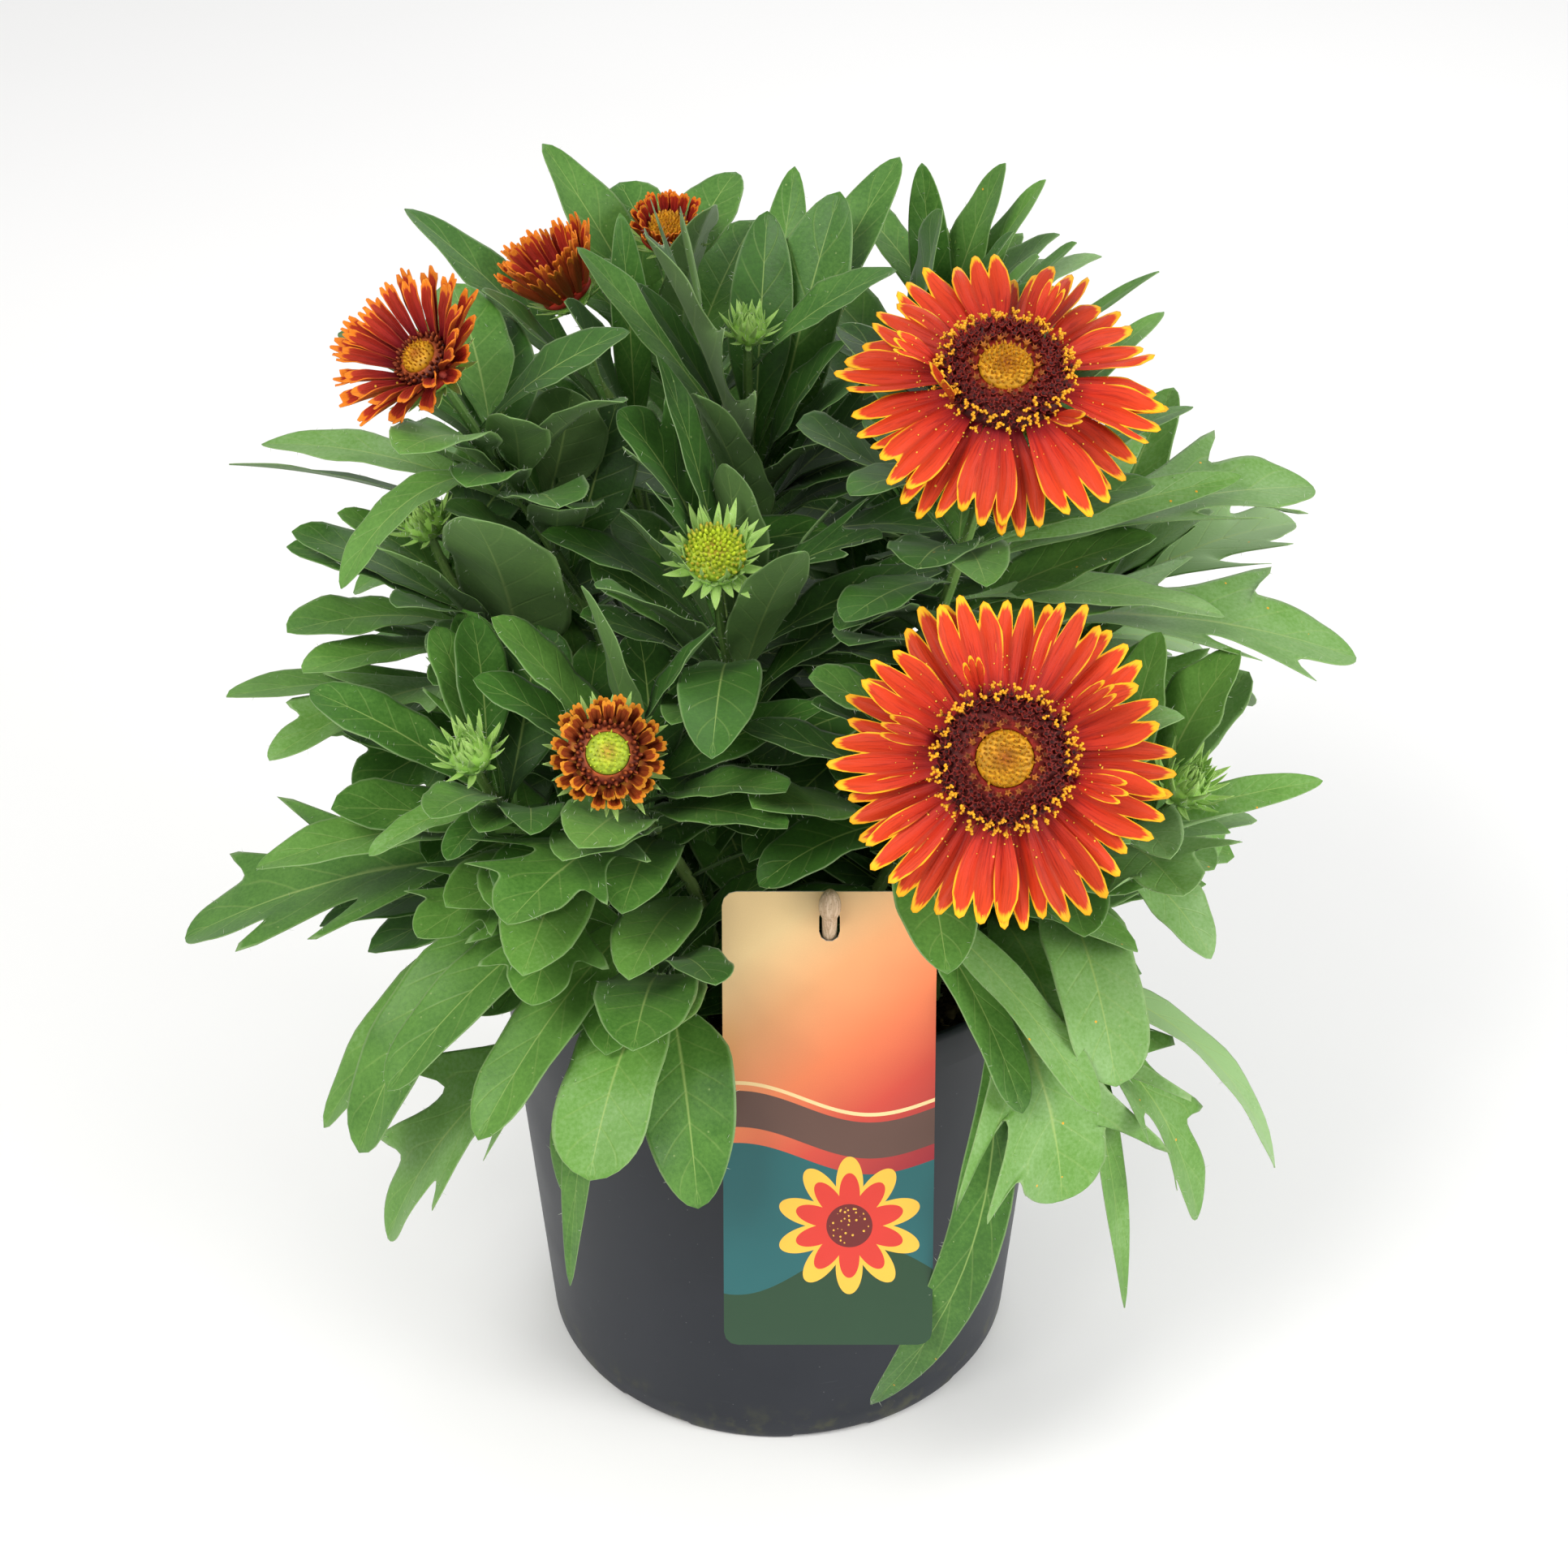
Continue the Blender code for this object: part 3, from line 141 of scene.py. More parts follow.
class Sheets:
    # Gathers blades, tubes and turned shapes for one mesh, with where each point lies on its blade.
    # spot holds across, along and tone; cover says how thickly hairs or grains stand there.

    def __init__(self):
        self.points = []
        self.spots = []
        self.cover = []
        self.under = []
        self.faces = []
        self.looks = []
        self.count = 0

    def add(self, points, faces, look, spots=None, cover=0.0, under=0.0):
        points = np.asarray(points, float).reshape(-1, 3)
        total = len(points)
        self.points.append(points)
        self.spots.append(np.zeros((total, 3)) if spots is None else np.asarray(spots, float).reshape(-1, 3))
        self.cover.append(np.broadcast_to(cover, total).astype(float))
        self.under.append(np.broadcast_to(under, total).astype(float))
        self.faces += [tuple(corner + self.count for corner in face) for face in faces]
        self.looks += [look] * len(faces)
        self.count += total

    def blade(self, middle, lift, above, below, spots, look, cover=0.0):
        # A closed blade about a grid of points, along by across, from its upper to its under side.
        along, across = middle.shape[:2]
        ahead = np.gradient(middle, axis=0)
        aside = np.gradient(middle, axis=1)
        normal = unit(np.cross(aside, ahead))
        lift = np.broadcast_to(lift, normal.shape)
        normal = unit(normal + lift * 0.2)
        top = middle + normal * np.broadcast_to(above, middle.shape[:2])[..., None]
        low = middle - normal * np.broadcast_to(below, middle.shape[:2])[..., None]
        grid = np.arange(along * across).reshape(along, across)
        under = grid + along * across
        faces = []
        for row in range(along - 1):
            for column in range(across - 1):
                a, b = grid[row, column], grid[row, column + 1]
                c, d = grid[row + 1, column + 1], grid[row + 1, column]
                faces.append((a, b, c, d))
                faces.append((d + along * across, c + along * across, b + along * across, a + along * across))
            faces.append((grid[row, 0], grid[row + 1, 0], under[row + 1, 0], under[row, 0]))
            faces.append((grid[row + 1, -1], grid[row, -1], under[row, -1], under[row + 1, -1]))
        for column in range(across - 1):
            faces.append((grid[0, column + 1], grid[0, column], under[0, column], under[0, column + 1]))
            faces.append((grid[-1, column], grid[-1, column + 1], under[-1, column + 1], under[-1, column]))
        faces = [tuple(int(corner) for corner in face) for face in faces]
        points = np.concatenate([top.reshape(-1, 3), low.reshape(-1, 3)])
        flat = spots.reshape(-1, 3)
        sides = np.concatenate([np.zeros(len(flat)), np.ones(len(flat))])
        hair = np.broadcast_to(cover, middle.shape[:2]).reshape(-1)
        self.add(points, faces, look, np.concatenate([flat, flat]), np.concatenate([hair, hair]), sides)

    def tube(self, path, radii, sides, look, tone=0.5, cover=1.0):
        path = [Vector(point) for point in path]
        across = Vector((1, 0, 0))
        points = []
        spots = []
        for index, centre in enumerate(path):
            run = (path[min(index + 1, len(path) - 1)] - path[max(index - 1, 0)]).normalized()
            across = (across - run * across.dot(run)).normalized()
            beside = run.cross(across)
            for side in range(sides):
                angle = 2 * math.pi * side / sides
                points.append(centre + (across * math.cos(angle) + beside * math.sin(angle)) * radii[index])
                spots.append((side / sides, index / (len(path) - 1), tone))
        faces = []
        for index in range(len(path) - 1):
            for side in range(sides):
                after = (side + 1) % sides
                low, high = index * sides, (index + 1) * sides
                faces.append((low + side, low + after, high + after, high + side))
        faces.append(tuple(range(sides - 1, -1, -1)))
        faces.append(tuple(range((len(path) - 1) * sides, len(path) * sides)))
        self.add(points, faces, look, spots, cover)

    def turned(self, profile, sides, look, place=None, tone=0.5, cover=0.0, wobble=0.0):
        # A closed turned shape. The profile runs from the axis at the foot to the axis at the top.
        points = []
        spots = []
        rings = []
        for step, (radius, height) in enumerate(profile):
            along = step / (len(profile) - 1)
            if radius < 1e-9:
                rings.append([len(points)])
                points.append(Vector((0, 0, height)))
                spots.append((0.0, along, tone))
                continue
            rings.append(list(range(len(points), len(points) + sides)))
            for side in range(sides):
                angle = 2 * math.pi * side / sides
                points.append(around(radius * (1 + wobble * math.sin(angle * 5 + step)), height, angle))
                spots.append((side / sides, along, tone))
        faces = []
        for low, high in zip(rings, rings[1:]):
            for side in range(sides):
                after = (side + 1) % sides
                if len(low) == 1:
                    faces.append((low[0], high[after], high[side]))
                elif len(high) == 1:
                    faces.append((low[side], low[after], high[0]))
                else:
                    faces.append((low[side], low[after], high[after], high[side]))
        if place:
            points = [place @ point for point in points]
        self.add(points, faces, look, spots, cover)

    def build(self, name, finishes):
        points = np.concatenate(self.points)
        mesh = bpy.data.meshes.new(name)
        mesh.from_pydata(points.tolist(), [], self.faces)
        for label, kind, field, values in (("spot", "FLOAT_VECTOR", "vector", self.spots),
                                           ("cover", "FLOAT", "value", self.cover),
                                           ("under", "FLOAT", "value", self.under)):
            mesh.attributes.new(label, kind, "POINT").data.foreach_set(field, np.concatenate(values).ravel())
        names = list(dict.fromkeys(self.looks))
        for look in names:
            mesh.materials.append(finishes[look])
        mesh.polygons.foreach_set("material_index", [names.index(look) for look in self.looks])
        mesh.shade_smooth()
        return newObject(name, mesh)

    def shape(self, name):
        # A small shape for the node trees, which give it its finish.
        return self.build(name, {"none": None})


# Small tools for node trees

class Net:
    def __init__(self, tree):
        self.tree = tree

    def node(self, kind, inputs=None, **settings):
        made = self.tree.nodes.new(kind)
        for name, value in settings.items():
            setattr(made, name, value)
        for name, value in (inputs or {}).items():
            self.feed(made.inputs[name], value)
        return made

    def feed(self, socket, value):
        if isinstance(value, bpy.types.NodeSocket):
            self.tree.links.new(value, socket)
        else:
            socket.default_value = value

    def sum(self, operation, first, second=0.0, third=0.0, clamp=False):
        made = self.node("ShaderNodeMath", {0: first, 1: second}, operation=operation, use_clamp=clamp)
        if operation in ("MULTIPLY_ADD", "SMOOTH_MIN", "SMOOTH_MAX", "COMPARE", "WRAP"):
            self.feed(made.inputs[2], third)
        return made.outputs[0]

    def plus(self, first, second):
        return self.sum("ADD", first, second)

    def minus(self, first, second, clamp=False):
        return self.sum("SUBTRACT", first, second, clamp=clamp)

    def times(self, first, second):
        return self.sum("MULTIPLY", first, second)

    def absolute(self, value):
        return self.sum("ABSOLUTE", value)

    def shaded(self, tint, shade):
        grey = self.node("ShaderNodeCombineColor", {0: shade, 1: shade, 2: shade}).outputs[0]
        return self.mix(1.0, tint, grey, "MULTIPLY")

    def triple(self, x, y, z):
        return self.node("ShaderNodeCombineXYZ", {0: x, 1: y, 2: z}).outputs[0]

    def step(self, value, low, high, first=0.0, last=1.0):
        made = self.node("ShaderNodeMapRange", {"Value": value, "From Min": low, "From Max": high,
                                                "To Min": first, "To Max": last}, interpolation_type="SMOOTHSTEP")
        return made.outputs["Result"]

    def mix(self, share, first, second, blend="MIX"):
        made = self.node("ShaderNodeMix", {0: share}, data_type="RGBA", blend_type=blend)
        self.feed(made.inputs[6], colour(first))
        self.feed(made.inputs[7], colour(second))
        return made.outputs[2]

    def band(self, value, low, high):
        return self.times(self.sum("GREATER_THAN", value, low), self.sum("LESS_THAN", value, high))

    def noise(self, where, scale, detail=3.0, roughness=0.5):
        made = self.node("ShaderNodeTexNoise", {"Vector": where, "Scale": scale, "Detail": detail,
                                                "Roughness": roughness})
        return made.outputs["Fac"]

    def ramp(self, value, stops):
        made = self.node("ShaderNodeValToRGB", {"Fac": value})
        elements = made.color_ramp.elements
        while len(elements) < len(stops):
            elements.new(0.5)
        for element, (place, tint) in zip(elements, stops):
            element.position = place
            element.color = colour(tint)
        return made.outputs["Color"]

    def split(self, vector):
        return self.node("ShaderNodeSeparateXYZ", {0: vector}).outputs

    def place(self):
        return self.node("ShaderNodeTexCoord").outputs["Object"]

    def spot(self):
        return self.split(self.node("ShaderNodeAttribute", attribute_name="spot").outputs["Vector"])

    def number(self, name):
        return self.node("ShaderNodeAttribute", attribute_name=name).outputs["Fac"]

    def use(self, group, **inputs):
        made = self.node("ShaderNodeGroup", node_tree=group)
        for name, value in inputs.items():
            self.feed(made.inputs[name], value)
        return made.outputs


def colour(value):
    if isinstance(value, bpy.types.NodeSocket):
        return value
    return (*value, 1.0) if len(value) == 3 else value


def newGroup(name, inputs, outputs):
    # A shader node group with its sockets: inputs are name, kind and value.
    tree = bpy.data.node_groups.new(name, "ShaderNodeTree")
    for label, kind, value in inputs:
        socket = tree.interface.new_socket(label, in_out="INPUT", socket_type="NodeSocket" + kind)
        if kind != "Vector":
            socket.default_value = value
    for label, kind in outputs:
        tree.interface.new_socket(label, in_out="OUTPUT", socket_type="NodeSocket" + kind)
    net = Net(tree)
    return tree, net, net.node("NodeGroupInput").outputs, net.node("NodeGroupOutput").inputs


def newFinish(name, roughness=0.5, specular=0.5, **fixed):
    finish = bpy.data.materials.new(name)
    finish.use_nodes = True
    shader = finish.node_tree.nodes["Principled BSDF"]
    shader.inputs["Roughness"].default_value = roughness
    shader.inputs["Specular IOR Level"].default_value = specular
    for label, value in fixed.items():
        shader.inputs[label.replace("_", " ")].default_value = value
    return finish, Net(finish.node_tree), shader


def addBump(net, shader, height, strength, distance):
    bump = net.node("ShaderNodeBump", {"Height": height, "Strength": strength, "Distance": distance})
    net.feed(shader.inputs["Normal"], bump.outputs["Normal"])


# Shared effects

def makeGrainGroup():
    # Fine felt or grain: a value round zero for the colour and a height for the bump.
    tree, net, given, out = newGroup("fineGrain", [("Where", "Vector", None), ("Scale", "Float", 900.0),
                                                   ("Patch Scale", "Float", 60.0)],
                                     [("Shade", "Float"), ("Height", "Float")])
    fine = net.noise(given["Where"], given["Scale"], 3.0, 0.6)
    broad = net.noise(given["Where"], given["Patch Scale"], 2.0)
    shade = net.plus(net.times(fine, 0.5), net.times(broad, 0.5))
    net.feed(out["Shade"], shade)
    net.feed(out["Height"], fine)
    return tree


def makeSpeckGroup():
    # Small loose grains, such as pollen or dust, as a mask. Amount is the share of cells that hold one.
    tree, net, given, out = newGroup("looseSpecks", [("Where", "Vector", None), ("Scale", "Float", 500.0),
                                                     ("Size", "Float", 0.2), ("Amount", "Float", 0.2)],
                                     [("Mask", "Float")])
    cell = net.node("ShaderNodeTexVoronoi", {"Vector": given["Where"], "Scale": given["Scale"]})
    near = net.sum("LESS_THAN", cell.outputs["Distance"], given["Size"])
    pick = net.split(cell.outputs["Color"])[0]
    chosen = net.sum("LESS_THAN", pick, given["Amount"])
    net.feed(out["Mask"], net.times(near, chosen))
    return tree


def makeVeinGroup():
    # The midrib, side veins and margin of a blade, from where a point lies across and along it.
    tree, net, given, out = newGroup("bladeVeins", [("Across", "Float", 0.0), ("Along", "Float", 0.0),
                                                    ("Veins", "Float", 8.0), ("Rib Width", "Float", 0.07)],
                                     [("Rib", "Float"), ("Side Veins", "Float"), ("Margin", "Float")])
    off = net.absolute(given["Across"])
    width = net.times(given["Rib Width"], net.minus(1.15, given["Along"]))
    rib = net.minus(1.0, net.sum("DIVIDE", off, width), clamp=True)
    run = net.minus(net.times(given["Along"], given["Veins"]), net.times(off, 1.3))
    wave = net.absolute(net.minus(net.sum("FRACT", run), 0.5))
    veins = net.step(wave, 0.07, 0.0)
    net.feed(out["Rib"], rib)
    net.feed(out["Side Veins"], net.times(veins, net.step(off, 1.0, 0.55)))
    net.feed(out["Margin"], net.step(off, 0.93, 0.985))
    return tree


# Finishes

greens = {
    "deep": (0.018, 0.055, 0.009),
    "mid": (0.050, 0.150, 0.020),
    "bright": (0.128, 0.290, 0.050),
    "pale": (0.255, 0.425, 0.165),
    "rib": (0.330, 0.460, 0.130),
}


def leafFinish(groups):
    finish, net, shader = newFinish("hairyLeaf", 0.46, 0.30, Sheen_Weight=0.05, Sheen_Roughness=0.4)
    across, along, tone = net.spot()
    veins = net.use(groups["veins"], Across=across, Along=along)
    grain = net.use(groups["grain"], Where=net.place())
    # The tone carries painted light and shade from where the leaf lies: inner leaves deep, outer and right-hand leaves
    # pale, plus random tone and grain.
    shade = net.plus(tone, net.times(net.minus(grain["Shade"], 0.5), 0.7))
    shade = net.plus(shade, net.times(along, -0.06))
    body = net.ramp(shade, [(0.05, greens["deep"]), (0.42, greens["mid"]), (0.72, greens["bright"]),
                            (0.98, greens["pale"])])
    body = net.mix(net.times(veins["Side Veins"], 0.20), body, greens["rib"])
    body = net.mix(net.times(veins["Margin"], 0.45), body, (0.30, 0.42, 0.19))
    body = net.mix(net.times(veins["Rib"], 0.8), body, greens["rib"])
    body = net.mix(net.times(net.number("under"), 0.45), body, (0.19, 0.30, 0.11))
    dust = net.use(groups["specks"], Where=net.place(), Scale=420.0, Size=0.13, Amount=0.10)["Mask"]
    body = net.mix(net.times(dust, 0.5), body, (0.30, 0.40, 0.14))
    pollenSide = net.step(net.split(net.place())[0], 0.01, 0.06)
    pollen = net.use(groups["specks"], Where=net.place(), Scale=260.0, Size=0.10, Amount=0.07)["Mask"]
    body = net.mix(net.times(pollen, pollenSide), body, (0.72, 0.36, 0.02))
    net.feed(shader.inputs["Base Color"], body)
    height = net.plus(net.times(veins["Side Veins"], -0.5), net.times(grain["Height"], 0.5))
    addBump(net, shader, height, 0.35, 0.0004)
    return finish


def stalkFinish(groups):
    finish, net, shader = newFinish("hairyStalk", 0.5, 0.35)
    across, _, tone = net.spot()
    grain = net.use(groups["grain"], Where=net.place(), Scale=1500.0)
    body = net.ramp(net.plus(tone, net.times(net.minus(grain["Shade"], 0.5), 0.8)),
                    [(0.1, (0.05, 0.12, 0.03)), (0.5, (0.16, 0.30, 0.07)), (0.9, (0.30, 0.42, 0.13))])
    stripe = net.sum("SINE", net.times(across, 37.7))
    body = net.mix(net.step(stripe, 0.4, 1.0, 0.0, 0.35), body, (0.24, 0.36, 0.12))
    net.feed(shader.inputs["Base Color"], body)
    addBump(net, shader, net.plus(stripe, grain["Height"]), 0.3, 0.0003)
    return finish


def bractFinish(groups):
    finish, net, shader = newFinish("hairyBract", 0.5, 0.3, Sheen_Weight=0.15)
    across, along, tone = net.spot()
    grain = net.use(groups["grain"], Where=net.place())
    shade = net.plus(net.plus(tone, net.times(along, 0.10)),
                    net.times(net.minus(grain["Shade"], 0.5), 0.5))
    body = net.ramp(shade, [(0.0, (0.10, 0.24, 0.03)), (0.45, (0.30, 0.54, 0.09)), (0.85, (0.55, 0.74, 0.28))])
    streak = net.absolute(net.sum("SINE", net.times(across, 7.0)))
    body = net.mix(net.step(streak, 0.25, 0.0, 0.0, 0.4), body, (0.40, 0.56, 0.22))
    net.feed(shader.inputs["Base Color"], body)
    addBump(net, shader, net.plus(streak, grain["Height"]), 0.25, 0.0003)
    return finish


def hairFinish():
    finish, net, shader = newFinish("plantHair", 0.5, 0.3)
    tint = net.mix(net.noise(net.place(), 300.0), (0.45, 0.55, 0.36), (0.80, 0.84, 0.74))
    net.feed(shader.inputs["Base Color"], tint)
    return finish


petalLooks = {  # root, body, dark veins, margin, where the margin begins, glow of the outer half
    "ray_red": ((0.19, 0.006, 0.020), (0.50, 0.026, 0.010), (0.27, 0.008, 0.006), (0.90, 0.44, 0.012), 0.915, 0.36),
    "ray_dark_red": ((0.17, 0.006, 0.012), (0.34, 0.020, 0.014), (0.16, 0.006, 0.006), (0.80, 0.22, 0.014), 0.86, 0.25),
    "ray_brown": ((0.14, 0.012, 0.008), (0.30, 0.060, 0.012), (0.16, 0.020, 0.006), (0.72, 0.27, 0.020), 0.80, 0.20),
}


def petalFinish(name, groups):
    root, body, dark, margin, rim, warmth = petalLooks[name]
    finish, net, shader = newFinish("petal_" + name, 0.50, 0.18)
    across, along, tone = net.spot()
    grain = net.use(groups["grain"], Where=net.place(), Scale=1400.0)
    lines = net.noise(net.triple(net.times(across, 7.0), net.times(along, 1.6), net.times(tone, 31.0)), 2.4, 2.0)
    off = net.absolute(net.minus(net.absolute(across), 0.33))
    furrow = net.step(off, 0.15, 0.0)
    streak = net.sum("MAXIMUM", net.step(lines, 0.50, 0.70), furrow)
    tint = net.mix(net.times(streak, 0.80), body, dark)
    tint = net.mix(net.step(along, 0.46, 0.06), tint, root)
    glow = net.mix(net.times(net.step(along, 0.35, 0.95), warmth), tint, (0.76, 0.085, 0.012))
    side = net.times(net.step(net.absolute(across), 0.92, 0.985), net.step(along, 0.60, 0.88))
    wander = net.times(net.minus(lines, 0.5), 0.10)
    edge = net.step(net.plus(along, wander), rim, rim + 0.05)
    tint = net.mix(net.sum("MAXIMUM", side, edge), glow, margin)
    tint = net.mix(net.times(net.number("under"), 0.35), tint, (0.70, 0.20, 0.035))
    shade = net.step(net.plus(tone, net.times(grain["Shade"], 0.4)), 0.1, 1.2, 0.74, 1.12)
    tint = net.shaded(tint, shade)
    pollen = net.use(groups["specks"], Where=net.place(), Scale=380.0, Size=0.12, Amount=0.05)["Mask"]
    tint = net.mix(pollen, tint, (0.88, 0.52, 0.05))
    net.feed(shader.inputs["Base Color"], tint)
    height = net.plus(net.times(lines, 1.2), net.times(grain["Height"], 0.35))
    addBump(net, shader, height, 0.5, 0.0004)
    return finish


def floretFinish(name, low, high, roughness=0.5, scale=700.0):
    finish, net, shader = newFinish(name, roughness, 0.3)
    tint = net.mix(net.noise(net.place(), scale, 2.0), low, high)
    net.feed(shader.inputs["Base Color"], tint)
    addBump(net, shader, net.noise(net.place(), scale * 3, 2.0), 0.3, 0.0002)
    return finish


def potFinish(groups):
    finish, net, shader = newFinish("anthracitePlastic", 0.42, 0.29)
    where = net.place()
    grain = net.use(groups["grain"], Where=where, Scale=2600.0)
    flow = net.noise(where, 26.0, 4.0)
    tint = net.mix(net.step(flow, 0.30, 0.75), (0.013, 0.016, 0.023), (0.020, 0.023, 0.031))
    drawn = {"Vector": where, "Rotation": (0.3, 0.2, 0.5), "Scale": (3.0, 3.0, 40.0)}
    scuff = net.node("ShaderNodeMapping", drawn).outputs[0]
    marks = net.step(net.noise(scuff, 30.0, 3.0), 0.70, 0.78)
    tint = net.mix(net.times(marks, 0.10), tint, (0.11, 0.12, 0.13))
    foot = net.step(net.split(where)[2], 0.020, 0.0)
    soilMarks = net.times(foot, net.step(net.noise(where, 130.0, 4.0), 0.50, 0.70))
    tint = net.mix(net.times(soilMarks, 0.7), tint, (0.075, 0.078, 0.035))
    dust = net.use(groups["specks"], Where=where, Scale=700.0, Size=0.14, Amount=0.04)["Mask"]
    tint = net.mix(net.times(dust, 0.35), tint, (0.25, 0.25, 0.25))
    net.feed(shader.inputs["Base Color"], tint)
    net.feed(shader.inputs["Roughness"], net.step(flow, 0.2, 0.8, 0.38, 0.50))
    addBump(net, shader, grain["Height"], 0.12, 0.0002)
    return finish


def soilFinish(groups):
    finish, net, shader = newFinish("darkSoil", 0.95, 0.15)
    where = net.place()
    tint = net.ramp(net.noise(where, 240.0, 5.0, 0.65), [(0.30, (0.006, 0.004, 0.003)), (0.52, (0.030, 0.019, 0.012)),
                                                         (0.72, (0.085, 0.056, 0.034))])
    pale = net.use(groups["specks"], Where=where, Scale=330.0, Size=0.22, Amount=0.05)["Mask"]
    tint = net.mix(pale, tint, (0.26, 0.21, 0.15))
    net.feed(shader.inputs["Base Color"], tint)
    addBump(net, shader, net.noise(where, 500.0, 4.0), 0.9, 0.001)
    return finish


def barkFinish():
    finish, net, shader = newFinish("barkBits", 0.85, 0.2)
    where = net.place()
    tint = net.ramp(net.noise(where, 90.0, 4.0), [(0.30, (0.020, 0.012, 0.008)), (0.50, (0.090, 0.050, 0.028)),
                                                  (0.70, (0.30, 0.20, 0.11))])
    net.feed(shader.inputs["Base Color"], tint)
    addBump(net, shader, net.noise(where, 900.0, 3.0), 0.6, 0.0006)
    return finish


def woodFinish(groups):
    finish, net, shader = newFinish("pegWood", 0.72, 0.25)
    where = net.place()
    long = net.node("ShaderNodeMapping", {"Vector": where, "Scale": (1.0, 1.0, 0.12)}).outputs[0]
    fibre = net.noise(long, 1500.0, 3.0)
    tint = net.mix(net.step(fibre, 0.35, 0.7), (0.50, 0.35, 0.22), (0.70, 0.54, 0.38))
    pores = net.use(groups["specks"], Where=where, Scale=1500.0, Size=0.30, Amount=0.45)["Mask"]
    tint = net.mix(net.times(pores, 0.55), tint, (0.28, 0.17, 0.09))
    net.feed(shader.inputs["Base Color"], tint)
    addBump(net, shader, net.plus(fibre, net.times(pores, -1.0)), 0.5, 0.0003)
    return finish


def floorFinish():
    finish, net, shader = newFinish("paleFloor", 0.9, 0.1)
    tint = net.mix(net.noise(net.place(), 3.0), (0.90, 0.90, 0.90), (0.94, 0.94, 0.94))
    net.feed(shader.inputs["Base Color"], tint)
    return finish


floretTints = (  # finish, its colours from the foot of a floret to its tip, and where the last begins
    ("maroon", (0.035, 0.002, 0.002), (0.110, 0.006, 0.004), (0.24, 0.014, 0.007), 0.78),
    ("ember", (0.050, 0.006, 0.004), (0.16, 0.022, 0.008), (0.36, 0.075, 0.015), 0.78),
    ("gold", (0.56, 0.27, 0.010), (0.66, 0.34, 0.014), (0.40, 0.12, 0.010), 0.88),
    ("goldTips", (0.62, 0.32, 0.015), (0.60, 0.27, 0.012), (0.13, 0.006, 0.004), 0.97),
    ("lime", (0.28, 0.42, 0.03), (0.46, 0.56, 0.04), (0.46, 0.30, 0.03), 0.88),
    ("limeTips", (0.34, 0.46, 0.02), (0.50, 0.62, 0.03), (0.62, 0.68, 0.05), 0.78),
    ("styles", (0.09, 0.004, 0.006), (0.26, 0.030, 0.008), (0.84, 0.40, 0.016), 0.78),
)


floretCores = {  # colour towards the middle, share of the disc where it has gone, share where it is whole
    "maroon": ((0.42, 0.13, 0.010), 0.36, 0.22),
    "lime": ((0.50, 0.62, 0.03), 0.60, 0.35),
}


def tipFinish(name, low, middle, top, end):
    finish, net, shader = newFinish("florets_" + name, 0.55, 0.25)
    along = net.spot()[1]
    shift = net.times(net.minus(net.number("tone"), 0.5), 0.12)
    tint = net.ramp(net.plus(along, shift), [(0.05, low), (0.45, middle), (end, top)])
    if name in floretCores:
        # The florets nearest the middle keep the middle's colour.
        share = net.number("share")
        inner = net.times(net.step(share, floretCores[name][1], floretCores[name][2]), net.step(share, 0.0, 0.002))
        tint = net.mix(inner, tint, floretCores[name][0])
    patch = net.step(net.noise(net.place(), 700.0, 2.0), 0.35, 0.7, 0.75, 1.2)
    tint = net.shaded(tint, patch)
    net.feed(shader.inputs["Base Color"], tint)
    addBump(net, shader, net.noise(net.place(), 2500.0, 2.0), 0.35, 0.0002)
    return finish


